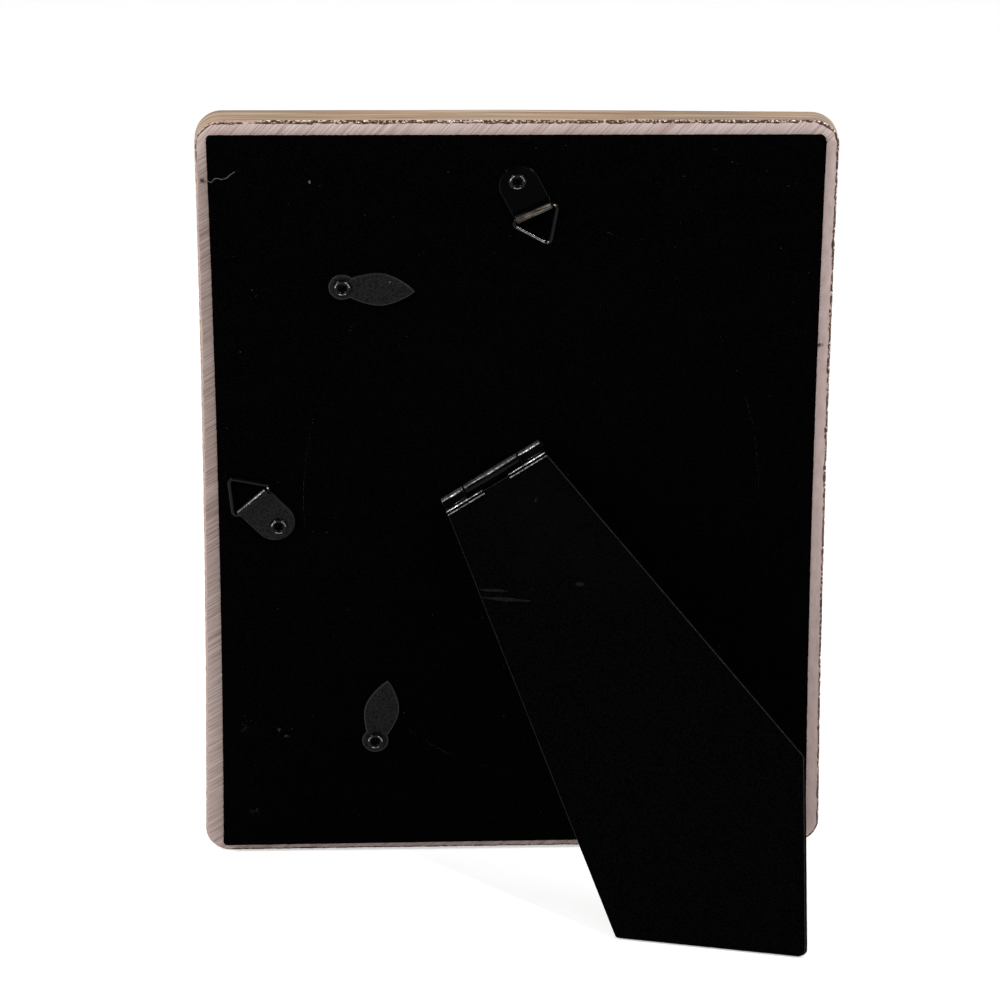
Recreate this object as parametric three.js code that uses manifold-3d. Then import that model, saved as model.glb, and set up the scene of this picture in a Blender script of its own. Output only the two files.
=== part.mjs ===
// A tabletop picture frame for an oval 5 x 7 inch photograph, seen in the model as it stands on a
// table: a cast resin frame that leans back on a two-way easel leg. Its back board is covered in
// black velour, has an oval door held by two turn buttons, and carries a triangle-ring hanger for
// each way of hanging. Millimetres, +Z up, the picture faces -Y.

import * as THREE from 'three';
import { mergeVertices } from 'three/addons/utils/BufferGeometryUtils.js';
import Module from 'manifold-3d';

const wasm = await Module();
wasm.setup();

const degrees = THREE.MathUtils.degToRad;

// The stance
const LEAN = degrees(12);
const LEG_OPEN = degrees(32.4);
const HINGE_SLANT = degrees(34);

// The gaps between pieces that rest on each other, and the glue line under a flocked paper
const SEAT = 0.3;
const GLUE = 0.2;

// How far a cutting body runs past what it cuts
const OVERSHOOT = 1;

// The resin frame
const FRAME_WIDTH = 197.6;
const FRAME_HEIGHT = 258;
const FRAME_DEPTH = 16.5;
const FRAME_CORNER = 8.5;
const SIDE_WAIST = 1.1;
const SIDE_FLAT = 7;
const WORN_EDGE = 0.5;
const RIM_WIDTH = 14;
const RIM_STEP = 6;
const FIELD_SINK = 2.4;
const LEAST_CORNER = 2;

// The oval opening
const SIGHT_WIDTH = 120;
const SIGHT_HEIGHT = 171;
const LEDGE = 4;
const REBATE_DEPTH = 6;
const SIGHT_EDGE = 1.5;
const COVE_WIDTH = 9;
const BEAD_WIDTH = 7;
const BEAD_RISE = 2.6;

// What lies in the rebate
const REBATE_PLAY = 0.5;
const GLASS_THICK = 2;
const PRINT_THICK = 0.4;
const CARD_THICK = 2.3;

// The back board
const BOARD_MARGIN = 4.6;
const BOARD_CORNER = 1.4;
const BOARD_THICK = 2.4;
const VELOUR_THICK = 0.4;

// The oval door in it
const DOOR_WIDTH = 142.6;
const DOOR_HEIGHT = 196;
const DOOR_OFF_CENTRE = 5;
const KERF = 0.45;

// The eyelets that rivet the hardware to the board
const EYELET_BORE = 2.7;
const EYELET_BARREL = 3.5;
const EYELET_FLANGE = 5.6;
const EYELET_FLANGE_THICK = 0.5;
const EYELET_CLINCH = 5.2;
const SWIVEL_PLAY = 0.15;

// The turn buttons, stamped from sheet
const BUTTON_SHEET = 0.8;
const BUTTON_EYE = 8.5;
const BUTTON_REACH = 22.5;
const BUTTON_WIDTH = 11.1;
const BUTTON_NECK = 6.8;
const BUTTON_BROADEST = 11.3;
const BUTTON_SHOULDER = 3.6;
const BUTTON_FLANK = 4.2;
const BUTTON_TIP = 1.2;

// The hangers: a strip folded double round the base wire of a triangle ring
const STRAP_WIDTH = 12.7;
const STRAP_SHEET = 0.7;
const STRAP_LENGTH = 11.5;
const STRAP_END_SET = 1.8;
const LOOP_WIDTH = 12;
const RING_WIRE = 1.25;
const RING_BASE = 16;
const RING_SIDE = 13.8;
const RING_BEND = 1;
const RING_PLAY = 0.13;

// The hinge of the leg
const HINGE_LENGTH = 37;
const HINGE_SHEET = 0.8;
const KNUCKLE = 3.9;
const PIN = 1.8;
const PIN_PLAY = 0.12;
const MIDDLE_KNUCKLE = 20;
const KNUCKLE_GAP = 0.3;
const LEAF_LENGTH = 12;
const LEAF_SIDE_IN = 1.3;
const PRONG_WIDTH = 3;
const PRONG_SET = 5.5;
const PRONG_FROM_END = 1;
const CRIMP_INNER = 4.8;
const CRIMP_LAP = 1.6;
const CRIMP_SHEET = 0.5;

// The leg, given as it lies folded on the board
const LEG_THICK = 2;
const LEG_RISE = 0.5;
const LEG_HEAD = 2.7;
const FOOT_SIDE_OUT = 4.2;
const FOOT_NEAR = 42.5;
const CORNER_SIDE_IN = 0.4;
const CORNER_HEIGHT = 60.3;
const LEG_CORNER = 1.2;
const FOOT_CORNER = 3.5;

// Where the hardware sits: at a bearing round the oval door, clear of its edge, and turned on its eye
const BUTTONS = {
  upper: { bearing: degrees(45.3), clear: 10.4, turn: degrees(85.6) },
  lower: { bearing: degrees(-53.3), clear: 10, turn: degrees(169) },
};
const HANGERS = {
  top: { bearing: degrees(86.9), clear: 13.6, turn: degrees(26.2) },
  side: { bearing: degrees(-3.7), clear: 8.3, turn: degrees(222.5) },
};

// Where the leg's hinge sits from the middle of the door, across and up
const HINGE_ACROSS = 12.2;
const HINGE_UP = 11.3;

// Steps in the round work
const CORNER_STEPS = 6;
const SIDE_STEPS = 10;
const ROUND_STEPS = 6;
const OVAL_STEPS = 72;
const HOLE_STEPS = 20;
const WIRE_SIDES = 8;
const BEND_STEPS = 4;

// Heights above the frame's back face, worked out from the thicknesses
const boardBottom = SEAT;
const boardTop = boardBottom + BOARD_THICK;
const velourTop = boardTop + GLUE + VELOUR_THICK;
const hardwareBottom = velourTop + SEAT;
const strapThick = 2 * STRAP_SHEET;
const frameCentre = FRAME_HEIGHT / 2;
const doorCentreX = -DOOR_OFF_CENTRE;
const hingeX = doorCentreX + HINGE_ACROSS;
const hingeZ = frameCentre + HINGE_UP;

// The point that lies a given way off the door's edge
function besideDoor({ bearing, clear }) {
  const edge = new THREE.Vector2(DOOR_WIDTH / 2 * Math.cos(bearing), DOOR_HEIGHT / 2 * Math.sin(bearing));
  const outward = new THREE.Vector2(DOOR_HEIGHT * Math.cos(bearing), DOOR_WIDTH * Math.sin(bearing));
  const point = edge.addScaledVector(outward.normalize(), clear);
  return new THREE.Vector3(doorCentreX + point.x, 0, frameCentre + point.y);
}

// Joining and cutting

function toManifold(geometry) {
  const bare = geometry.clone();
  bare.deleteAttribute('normal');
  bare.deleteAttribute('uv');
  const merged = mergeVertices(bare, 1e-4);
  return new wasm.Manifold(new wasm.Mesh({
    numProp: 3,
    vertProperties: new Float32Array(merged.attributes.position.array),
    triVerts: new Uint32Array(merged.index.array),
  }));
}

function toGeometry(manifold) {
  const mesh = manifold.getMesh();
  const indexed = new THREE.BufferGeometry();
  indexed.setAttribute('position', new THREE.BufferAttribute(new Float32Array(mesh.vertProperties), 3));
  indexed.setIndex(Array.from(mesh.triVerts));
  const geometry = indexed.toNonIndexed();
  geometry.computeVertexNormals();
  return geometry;
}

function cut(body, ...cutters) {
  return cutters.reduce((left, cutter) => left.subtract(cutter), body);
}

function join(body, ...others) {
  return others.reduce((whole, other) => whole.add(other), body);
}

// Shapes: outlines lie in the plane of the board, x across and z up, and y is the height off it

function waist(x, z, halfWidth, halfHeight) {
  const pull = (SIDE_WAIST / halfWidth) * (1 - (z / halfHeight) ** 2);
  return new THREE.Vector2(x * (1 - pull), z);
}

// The rounded rectangle that every outline of the frame follows, a set distance inside its edge
function frameOutline(inset, corner) {
  const halfWidth = FRAME_WIDTH / 2 - inset;
  const halfHeight = FRAME_HEIGHT / 2 - inset;
  const points = [];
  const corners = [[1, 1], [-1, 1], [-1, -1], [1, -1]];
  corners.forEach(([right, up], quarter) => {
    const centre = new THREE.Vector2(right * (halfWidth - corner), up * (halfHeight - corner));
    for (let step = 0; step <= CORNER_STEPS; step += 1) {
      const angle = (quarter + step / CORNER_STEPS) * Math.PI / 2;
      const spoke = new THREE.Vector2(Math.cos(angle), Math.sin(angle));
      points.push(centre.clone().addScaledVector(spoke, corner));
    }
    if (quarter === 1 || quarter === 3) {
      const along = 2 * (halfHeight - corner);
      for (let step = 1; step < SIDE_STEPS; step += 1) {
        points.push(new THREE.Vector2(right * halfWidth, up * (along / 2 - along * step / SIDE_STEPS)));
      }
    }
  });
  return points.map((point) => waist(point.x, point.y, halfWidth, halfHeight));
}

function oval(width, height, grow = 0) {
  const across = width / 2 + grow;
  const up = height / 2 + grow;
  return Array.from({ length: OVAL_STEPS }, (_, step) => {
    const angle = 2 * Math.PI * step / OVAL_STEPS;
    return new THREE.Vector2(across * Math.cos(angle), up * Math.sin(angle));
  });
}

function plate(outline, low, high) {
  const shape = Array.isArray(outline) ? new THREE.Shape(outline) : outline;
  const geometry = new THREE.ExtrudeGeometry(shape, {
    depth: high - low,
    bevelEnabled: false,
    curveSegments: 12,
  });
  geometry.rotateX(Math.PI / 2);
  geometry.translate(0, high, 0);
  return toManifold(geometry);
}

function moved(body, x, y, z) {
  return body.translate([x, y, z]);
}

// A flat path round the given corners, each one rounded to its own radius
function roundCorners(corners, radii, steps) {
  const count = corners.length;
  return corners.flatMap((corner, at) => {
    const back = new THREE.Vector2().subVectors(corners[(at + count - 1) % count], corner).normalize();
    const ahead = new THREE.Vector2().subVectors(corners[(at + 1) % count], corner).normalize();
    const half = back.angleTo(ahead) / 2;
    const centre = back.clone().add(ahead).normalize().multiplyScalar(radii[at] / Math.sin(half)).add(corner);
    const start = back.clone().multiplyScalar(radii[at] / Math.tan(half)).add(corner).sub(centre);
    const sweep = Math.PI - 2 * half;
    return Array.from({ length: steps + 1 }, (_, step) => (
      start.clone().rotateAround(new THREE.Vector2(), sweep * step / steps).add(centre)
    ));
  });
}

// Outlines joined one above the other, lowest first, closed by a flat fan at each end
function loft(rings) {
  const count = rings[0].length;
  const positions = rings.flat().flatMap((point) => [point.x, point.y, point.z]);
  const index = [];
  for (let ring = 0; ring + 1 < rings.length; ring += 1) {
    for (let step = 0; step < count; step += 1) {
      const a = ring * count + step;
      const b = ring * count + (step + 1) % count;
      index.push(a, a + count, b, b, a + count, b + count);
    }
  }
  [0, rings.length - 1].forEach((ring, end) => {
    const middle = new THREE.Vector3();
    rings[ring].forEach((point) => middle.addScaledVector(point, 1 / count));
    const hub = positions.length / 3;
    positions.push(middle.x, middle.y, middle.z);
    for (let step = 0; step < count; step += 1) {
      const a = ring * count + step;
      const b = ring * count + (step + 1) % count;
      index.push(...(end === 0 ? [hub, a, b] : [hub, b, a]));
    }
  });
  const geometry = new THREE.BufferGeometry();
  geometry.setAttribute('position', new THREE.Float32BufferAttribute(positions, 3));
  geometry.setIndex(index);
  return toManifold(geometry);
}

function level(outline, height) {
  return outline.map((point) => new THREE.Vector3(point.x, height, point.y));
}

// A section carried round a flat closed path; the section is given as steps outward and upward
function sweepLoop(path, section) {
  const count = path.length;
  const sides = section.length;
  const positions = [];
  path.forEach((here, at) => {
    const before = path[(at + count - 1) % count];
    const after = path[(at + 1) % count];
    const along = new THREE.Vector2().subVectors(after, before).normalize();
    const outward = new THREE.Vector2(along.y, -along.x);
    section.forEach(([out, up]) => {
      positions.push(here.x + outward.x * out, up, here.y + outward.y * out);
    });
  });
  const index = [];
  for (let at = 0; at < count; at += 1) {
    for (let side = 0; side < sides; side += 1) {
      const a = at * sides + side;
      const b = at * sides + (side + 1) % sides;
      const c = ((at + 1) % count) * sides + side;
      const d = ((at + 1) % count) * sides + (side + 1) % sides;
      index.push(a, b, c, b, d, c);
    }
  }
  const geometry = new THREE.BufferGeometry();
  geometry.setAttribute('position', new THREE.Float32BufferAttribute(positions, 3));
  geometry.setIndex(index);
  return toManifold(geometry);
}

// A round bar whose axis stands off the board
function post(radius, low, high) {
  const geometry = new THREE.CylinderGeometry(radius, radius, high - low, HOLE_STEPS);
  geometry.translate(0, (low + high) / 2, 0);
  return toManifold(geometry);
}

// A round bar along x
function bar(radius, from, to) {
  const geometry = new THREE.CylinderGeometry(radius, radius, to - from, HOLE_STEPS);
  geometry.rotateZ(Math.PI / 2);
  geometry.translate((from + to) / 2, 0, 0);
  return toManifold(geometry);
}

function block(x0, x1, y0, y1, z0, z1) {
  const geometry = new THREE.BoxGeometry(x1 - x0, y1 - y0, z1 - z0);
  geometry.translate((x0 + x1) / 2, (y0 + y1) / 2, (z0 + z1) / 2);
  return toManifold(geometry);
}

// Finishes

const FINISHES = {
  resin: { color: 0xa07f63, roughness: 0.45, metalness: 0.35 },
  glass: { color: 0xdfe8e6, roughness: 0.05, metalness: 0, transparent: true, opacity: 0.35 },
  print: { color: 0xd9d2c4, roughness: 0.6, metalness: 0 },
  card: { color: 0x8c8378, roughness: 0.9, metalness: 0 },
  board: { color: 0x6b5138, roughness: 0.85, metalness: 0 },
  velour: { color: 0x0b0b0c, roughness: 0.95, metalness: 0 },
  lacquer: { color: 0x151517, roughness: 0.25, metalness: 0.7 },
  dark_steel: { color: 0x35363a, roughness: 0.5, metalness: 0.7 },
};

function piece(name, body, finish) {
  const mesh = new THREE.Mesh(toGeometry(body), new THREE.MeshStandardMaterial(FINISHES[finish]));
  mesh.name = name;
  return mesh;
}

// The resin frame: a rounded rim that falls to a sunk field, with a bead round the oval

function frameCasting() {
  const rings = [
    level(frameOutline(WORN_EDGE, FRAME_CORNER), 0),
    level(frameOutline(0, FRAME_CORNER), -WORN_EDGE * 2),
  ];
  for (let step = 0; step <= ROUND_STEPS; step += 1) {
    const angle = step / ROUND_STEPS * Math.PI / 2;
    const inset = RIM_WIDTH * (1 - Math.cos(angle));
    const depth = SIDE_FLAT + (FRAME_DEPTH - SIDE_FLAT) * Math.sin(angle);
    rings.push(level(frameOutline(inset, Math.max(FRAME_CORNER - inset, LEAST_CORNER)), -depth));
  }
  for (let step = 1; step <= ROUND_STEPS; step += 1) {
    const fall = (1 - Math.cos(step / ROUND_STEPS * Math.PI)) / 2;
    const inset = RIM_WIDTH + RIM_STEP * step / ROUND_STEPS;
    rings.push(level(frameOutline(inset, LEAST_CORNER), -FRAME_DEPTH + FIELD_SINK * fall));
  }
  const field = -FRAME_DEPTH + FIELD_SINK;
  const beadPath = oval(SIGHT_WIDTH, SIGHT_HEIGHT, COVE_WIDTH + BEAD_WIDTH / 2);
  const beadSection = [];
  for (let step = 0; step < 2 * ROUND_STEPS; step += 1) {
    const angle = step / ROUND_STEPS * Math.PI;
    beadSection.push([BEAD_WIDTH / 2 * Math.cos(angle), field + BEAD_RISE * Math.sin(angle)]);
  }
  const front = field - BEAD_RISE - OVERSHOOT;
  const cove = [level(oval(SIGHT_WIDTH, SIGHT_HEIGHT, COVE_WIDTH), front)];
  const coveTop = field;
  const coveBottom = -REBATE_DEPTH - SIGHT_EDGE;
  for (let step = 0; step <= ROUND_STEPS; step += 1) {
    const angle = step / ROUND_STEPS * Math.PI / 2;
    const grow = COVE_WIDTH * Math.cos(angle);
    const height = coveTop + (coveBottom - coveTop) * Math.sin(angle);
    cove.push(level(oval(SIGHT_WIDTH, SIGHT_HEIGHT, grow), height));
  }
  cove.push(level(oval(SIGHT_WIDTH, SIGHT_HEIGHT), OVERSHOOT));
  const body = join(loft(rings.reverse()), sweepLoop(beadPath, beadSection));
  const rebate = plate(oval(SIGHT_WIDTH, SIGHT_HEIGHT, LEDGE), -REBATE_DEPTH, OVERSHOOT);
  return moved(cut(body, loft(cove), rebate), 0, 0, frameCentre);
}

// Glass, print and card drop into the rebate from behind

function rebateLayer(low, thick) {
  const layer = plate(oval(SIGHT_WIDTH, SIGHT_HEIGHT, LEDGE - REBATE_PLAY), low, low + thick);
  return moved(layer, 0, 0, frameCentre);
}

const glassBottom = -REBATE_DEPTH + SEAT;
const printBottom = glassBottom + GLASS_THICK + SEAT;
const cardBottom = printBottom + PRINT_THICK + SEAT;

// The back board and its velour, pierced for the door and the eyelets

const eyeletPlaces = [...Object.values(BUTTONS), ...Object.values(HANGERS)].map(besideDoor);
const wrap = BOARD_MARGIN + GLUE + VELOUR_THICK;

function boardOutline(inset) {
  const corner = Math.max(BOARD_CORNER - (inset - BOARD_MARGIN), LEAST_CORNER / 2);
  return frameOutline(inset, corner);
}

function doorHole(grow) {
  const hole = plate(oval(DOOR_WIDTH, DOOR_HEIGHT, grow), -OVERSHOOT, velourTop + OVERSHOOT);
  return moved(hole, doorCentreX, 0, frameCentre);
}

function backBoard() {
  const sheet = moved(plate(boardOutline(wrap), boardBottom, boardTop), 0, 0, frameCentre);
  const holes = eyeletPlaces.flatMap(({ x, z }) => [
    moved(post(EYELET_BARREL / 2 + SWIVEL_PLAY, -OVERSHOOT, boardTop + OVERSHOOT), x, 0, z),
    moved(post(EYELET_CLINCH / 2 + SWIVEL_PLAY, -OVERSHOOT, clinchTop + SWIVEL_PLAY), x, 0, z),
  ]);
  return cut(sheet, doorHole(KERF), ...holes);
}

function backVelour() {
  const skin = moved(plate(boardOutline(BOARD_MARGIN), boardBottom, velourTop), 0, 0, frameCentre);
  const inside = moved(plate(boardOutline(wrap - GLUE), -OVERSHOOT, boardTop + GLUE), 0, 0, frameCentre);
  const holes = eyeletPlaces.map(({ x, z }) => (
    moved(post(EYELET_BARREL / 2 + SWIVEL_PLAY, -OVERSHOOT, velourTop + OVERSHOOT), x, 0, z)
  ));
  return cut(skin, inside, doorHole(KERF), ...holes);
}

// Eyelets: a rolled flange outside, a barrel, and a clinched flange sunk in the board's inner face

const clinchBottom = boardBottom + SEAT;
const clinchTop = clinchBottom + EYELET_FLANGE_THICK;

function eyelet(grip) {
  const under = hardwareBottom + grip + SEAT;
  const top = under + EYELET_FLANGE_THICK;
  const bore = EYELET_BORE / 2;
  const profile = [
    [bore, clinchBottom],
    [EYELET_CLINCH / 2, clinchBottom],
    [EYELET_CLINCH / 2, clinchTop],
    [EYELET_BARREL / 2, clinchTop],
    [EYELET_BARREL / 2, under],
    [EYELET_FLANGE / 2, under],
    [EYELET_FLANGE / 2 - EYELET_FLANGE_THICK / 3, top - EYELET_FLANGE_THICK / 3],
    [(bore + EYELET_FLANGE / 2) / 2, top],
    [bore + EYELET_FLANGE_THICK / 3, top - EYELET_FLANGE_THICK / 3],
    [bore, under],
    [bore, clinchBottom],
  ];
  const points = profile.map(([radius, height]) => new THREE.Vector2(radius, height));
  return toManifold(new THREE.LatheGeometry(points, HOLE_STEPS));
}

// The hole in a piece that swivels on an eyelet
function eyeletBore() {
  const deepest = hardwareBottom + strapThick + OVERSHOOT;
  return post(EYELET_BARREL / 2 + SWIVEL_PLAY, hardwareBottom - OVERSHOOT, deepest);
}

// Turn button: a leaf on an eye, its tip towards -z

function turnButton() {
  const eye = BUTTON_EYE / 2;
  const neck = BUTTON_NECK / 2;
  const neckZ = -Math.sqrt(eye * eye - neck * neck);
  const half = BUTTON_WIDTH / 2;
  const broad = -BUTTON_BROADEST;
  const tip = BUTTON_TIP / 2;
  const tipZ = -BUTTON_REACH + tip;
  const shape = new THREE.Shape();
  shape.moveTo(neck, neckZ);
  shape.absarc(0, 0, eye, Math.atan2(neckZ, neck), Math.atan2(neckZ, -neck) + 2 * Math.PI, false);
  shape.quadraticCurveTo(-half, broad + BUTTON_SHOULDER, -half, broad);
  shape.bezierCurveTo(-half, broad - BUTTON_FLANK, -3 * tip, tipZ + BUTTON_TIP, -tip, tipZ);
  shape.quadraticCurveTo(0, -BUTTON_REACH - tip / 2, tip, tipZ);
  shape.bezierCurveTo(3 * tip, tipZ + BUTTON_TIP, half, broad - BUTTON_FLANK, half, broad);
  shape.quadraticCurveTo(half, broad + BUTTON_SHOULDER, neck, neckZ);
  return cut(plate(shape, hardwareBottom, hardwareBottom + BUTTON_SHEET), eyeletBore());
}

// Hanger strap: the folded strip with its eye at the origin and its fold towards -z

const loopBore = RING_WIRE / 2 + RING_PLAY;
const loopRadius = loopBore + STRAP_SHEET;
const foldHeight = hardwareBottom + loopRadius;

function hangerStrap() {
  const half = STRAP_WIDTH / 2;
  const endZ = -STRAP_END_SET;
  const throat = -STRAP_LENGTH + loopRadius;
  const shape = new THREE.Shape();
  shape.moveTo(-half, endZ);
  shape.lineTo(-half, throat);
  shape.lineTo(-LOOP_WIDTH / 2, throat);
  shape.lineTo(-LOOP_WIDTH / 2, -STRAP_LENGTH);
  shape.lineTo(LOOP_WIDTH / 2, -STRAP_LENGTH);
  shape.lineTo(LOOP_WIDTH / 2, throat);
  shape.lineTo(half, throat);
  shape.lineTo(half, endZ);
  shape.absarc(0, endZ, half, 0, Math.PI, false);
  const strip = plate(shape, hardwareBottom, hardwareBottom + strapThick);
  const loop = moved(bar(loopRadius, -LOOP_WIDTH / 2, LOOP_WIDTH / 2), 0, foldHeight, -STRAP_LENGTH);
  const ringBore = moved(bar(loopBore, -STRAP_WIDTH, STRAP_WIDTH), 0, foldHeight, -STRAP_LENGTH);
  return cut(join(strip, loop), ringBore, eyeletBore());
}

// Triangle ring: its base wire lies on the x axis, in the fold, and its apex points towards -z

const ringReach = Math.sqrt(RING_SIDE ** 2 - (RING_BASE / 2) ** 2);

function hangerRing() {
  const section = Array.from({ length: WIRE_SIDES }, (_, side) => {
    const angle = 2 * Math.PI * side / WIRE_SIDES;
    return [RING_WIRE / 2 * Math.cos(angle), RING_WIRE / 2 * Math.sin(angle)];
  });
  const corners = [
    new THREE.Vector2(-RING_BASE / 2, 0),
    new THREE.Vector2(0, -ringReach),
    new THREE.Vector2(RING_BASE / 2, 0),
  ];
  return sweepLoop(roundCorners(corners, [RING_BEND, RING_BEND, RING_BEND], BEND_STEPS), section);
}

const ringLift = loopRadius - RING_WIRE / 2 + SEAT;
const againstBoard = -Math.asin((ringLift - SEAT) / ringReach);

// A ring that hangs free from its fold stands off the leaning board by this much
function hangingTilt(turn) {
  return Math.atan2(Math.sin(LEAN), Math.cos(LEAN) * Math.cos(turn));
}

// The leg's hinge: the origin is the middle of its axis, x runs along it, the leg hangs towards -z

const knuckleRadius = KNUCKLE / 2;
const pinBore = PIN / 2 + PIN_PLAY;
const hingeHeight = hardwareBottom + knuckleRadius;
const middleHalf = MIDDLE_KNUCKLE / 2;
const outerStart = middleHalf + KNUCKLE_GAP;
const hingeHalf = HINGE_LENGTH / 2;

function prongs(low, high) {
  return [-1, 1].map((side) => {
    const centre = side * PRONG_SET;
    return block(centre - PRONG_WIDTH / 2, centre + PRONG_WIDTH / 2, low, high,
      -LEAF_LENGTH + PRONG_FROM_END, -LEAF_LENGTH + PRONG_FROM_END + HINGE_SHEET);
  });
}

function prongSlots(low, high) {
  return [-1, 1].map((side) => {
    const centre = side * PRONG_SET;
    const half = PRONG_WIDTH / 2 + SEAT;
    return block(centre - half, centre + half, low, high,
      -LEAF_LENGTH + PRONG_FROM_END - SEAT, -LEAF_LENGTH + PRONG_FROM_END + HINGE_SHEET + SEAT);
  });
}

function fixedLeaf() {
  const plateBottom = -knuckleRadius;
  const leaf = block(-middleHalf, middleHalf, plateBottom, plateBottom + HINGE_SHEET, -LEAF_LENGTH, 0);
  const prongTip = boardBottom + SEAT - hingeHeight;
  const knuckle = bar(knuckleRadius, -middleHalf, middleHalf);
  const body = join(knuckle, leaf, ...prongs(prongTip, plateBottom + HINGE_SHEET));
  return cut(body, bar(pinBore, -hingeHalf, hingeHalf));
}

const legBottom = -LEG_THICK / 2 + LEG_RISE;
const legTop = legBottom + LEG_THICK;
const legSkin = legTop + GLUE + VELOUR_THICK;
const leafTop = legTop;
const leafBottom = leafTop - HINGE_SHEET;
const leafHalf = hingeHalf - LEAF_SIDE_IN;

// Each arm rises from its knuckle to a lip that is crimped over the head of the leg
function leafArm(side) {
  const from = (near) => Math.min(side * near, side * hingeHalf);
  const to = (near) => Math.max(side * near, side * hingeHalf);
  const lipBottom = legSkin + SEAT;
  const lipTop = lipBottom + CRIMP_SHEET;
  const headFar = -LEG_HEAD - CRIMP_SHEET;
  const knuckle = bar(knuckleRadius, from(outerStart), to(outerStart));
  const rise = knuckleRadius - HINGE_SHEET;
  return join(
    knuckle,
    block(from(outerStart), to(outerStart), rise, knuckleRadius, headFar, 0),
    block(from(CRIMP_INNER), to(CRIMP_INNER), leafBottom, lipTop, headFar, -LEG_HEAD),
    block(from(CRIMP_INNER), to(CRIMP_INNER), lipBottom, lipTop, -LEG_HEAD - CRIMP_LAP, -LEG_HEAD),
  );
}

function movingLeaf() {
  const leaf = block(-leafHalf, leafHalf, leafBottom, leafTop, -LEAF_LENGTH, -LEG_HEAD);
  const body = join(leaf, leafArm(-1), leafArm(1), ...prongs(legBottom + SEAT, leafTop));
  return cut(body, bar(pinBore, -HINGE_LENGTH, HINGE_LENGTH));
}

// The leg: which way is up, as the open leg sees it, tells where its foot has to be cut

const upInLeg = new THREE.Vector3(
  -Math.sin(HINGE_SLANT) * Math.cos(LEAN),
  Math.sin(LEG_OPEN) * Math.cos(HINGE_SLANT) * Math.cos(LEAN) - Math.cos(LEG_OPEN) * Math.sin(LEAN),
  Math.sin(LEG_OPEN) * Math.sin(LEAN) + Math.cos(LEG_OPEN) * Math.cos(HINGE_SLANT) * Math.cos(LEAN),
);
const restEdge = WORN_EDGE * 2 * Math.sin(LEAN);
const hingeAboveTable = hingeZ * Math.cos(LEAN) - hingeHeight * Math.sin(LEAN) - restEdge;

function onLeg(x, u) {
  const across = x - hingeX;
  const up = u - hingeZ;
  return new THREE.Vector2(
    across * Math.cos(HINGE_SLANT) - up * Math.sin(HINGE_SLANT),
    across * Math.sin(HINGE_SLANT) + up * Math.cos(HINGE_SLANT),
  );
}

// Where a foot corner at x lies up the board, folded, if it is to touch the table when the leg is open
function footHeight(x) {
  const across = x - hingeX;
  const slope = Math.cos(HINGE_SLANT) * upInLeg.x + Math.sin(HINGE_SLANT) * upInLeg.z;
  const gain = Math.cos(HINGE_SLANT) * upInLeg.z - Math.sin(HINGE_SLANT) * upInLeg.x;
  return hingeZ - (hingeAboveTable + legBottom * upInLeg.y + across * slope) / gain;
}

function legOutline(inset) {
  const footFar = -FRAME_WIDTH / 2 - FOOT_SIDE_OUT;
  const cornerX = -FRAME_WIDTH / 2 + CORNER_SIDE_IN;
  const corners = [
    new THREE.Vector2(hingeHalf, -LEG_HEAD),
    new THREE.Vector2(-hingeHalf, -LEG_HEAD),
    onLeg(cornerX, CORNER_HEIGHT),
    onLeg(footFar, footHeight(footFar)),
    onLeg(-FOOT_NEAR, footHeight(-FOOT_NEAR)),
  ];
  const radii = [LEG_CORNER, LEG_CORNER, LEG_CORNER, FOOT_CORNER, LEG_CORNER];
  const count = corners.length;
  const shrunk = corners.map((corner, at) => {
    const back = new THREE.Vector2().subVectors(corners[(at + count - 1) % count], corner).normalize();
    const ahead = new THREE.Vector2().subVectors(corners[(at + 1) % count], corner).normalize();
    const step = inset / Math.abs(back.cross(ahead));
    return corner.clone().addScaledVector(back, step).addScaledVector(ahead, step);
  });
  return roundCorners(shrunk, radii.map((radius) => radius - inset), BEND_STEPS);
}

function legBoard() {
  const pocket = block(-leafHalf - SEAT, leafHalf + SEAT, leafBottom - SEAT, legTop + OVERSHOOT,
    -LEAF_LENGTH - SEAT, OVERSHOOT);
  const board = plate(legOutline(VELOUR_THICK + GLUE), legBottom, legTop);
  return cut(board, pocket, ...prongSlots(legBottom - OVERSHOOT, legTop));
}

function legVelour() {
  const skin = plate(legOutline(0), legBottom, legSkin);
  const inside = plate(legOutline(VELOUR_THICK), legBottom - OVERSHOOT, legTop + GLUE);
  const mouth = block(-hingeHalf - SEAT, hingeHalf + SEAT, legBottom - OVERSHOOT, legSkin + OVERSHOOT,
    -LEG_HEAD - CRIMP_SHEET - SEAT, OVERSHOOT);
  return cut(skin, inside, mouth);
}

// The door, slotted for the hinge's prongs

function inHingePlace(body) {
  return body.rotate([0, THREE.MathUtils.radToDeg(HINGE_SLANT), 0]).translate([hingeX, 0, hingeZ]);
}

function doorLayer(low, high) {
  const sheet = moved(plate(oval(DOOR_WIDTH, DOOR_HEIGHT), low, high), doorCentreX, 0, frameCentre);
  return cut(sheet, ...prongSlots(-OVERSHOOT, hingeHeight).map(inHingePlace));
}

// Putting it together: everything on the frame leans with it

const frame = new THREE.Group();
const leaning = new THREE.Group();
leaning.rotation.x = -LEAN;
frame.add(leaning);

leaning.add(
  piece('frame_casting', frameCasting(), 'resin'),
  piece('oval_glass', rebateLayer(glassBottom, GLASS_THICK), 'glass'),
  piece('oval_print', rebateLayer(printBottom, PRINT_THICK), 'print'),
  piece('backing_card', rebateLayer(cardBottom, CARD_THICK), 'card'),
  piece('back_board', backBoard(), 'board'),
  piece('back_velour', backVelour(), 'velour'),
  piece('door_board', doorLayer(boardBottom, boardTop), 'board'),
  piece('door_velour', doorLayer(boardTop + GLUE, velourTop), 'velour'),
);

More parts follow.
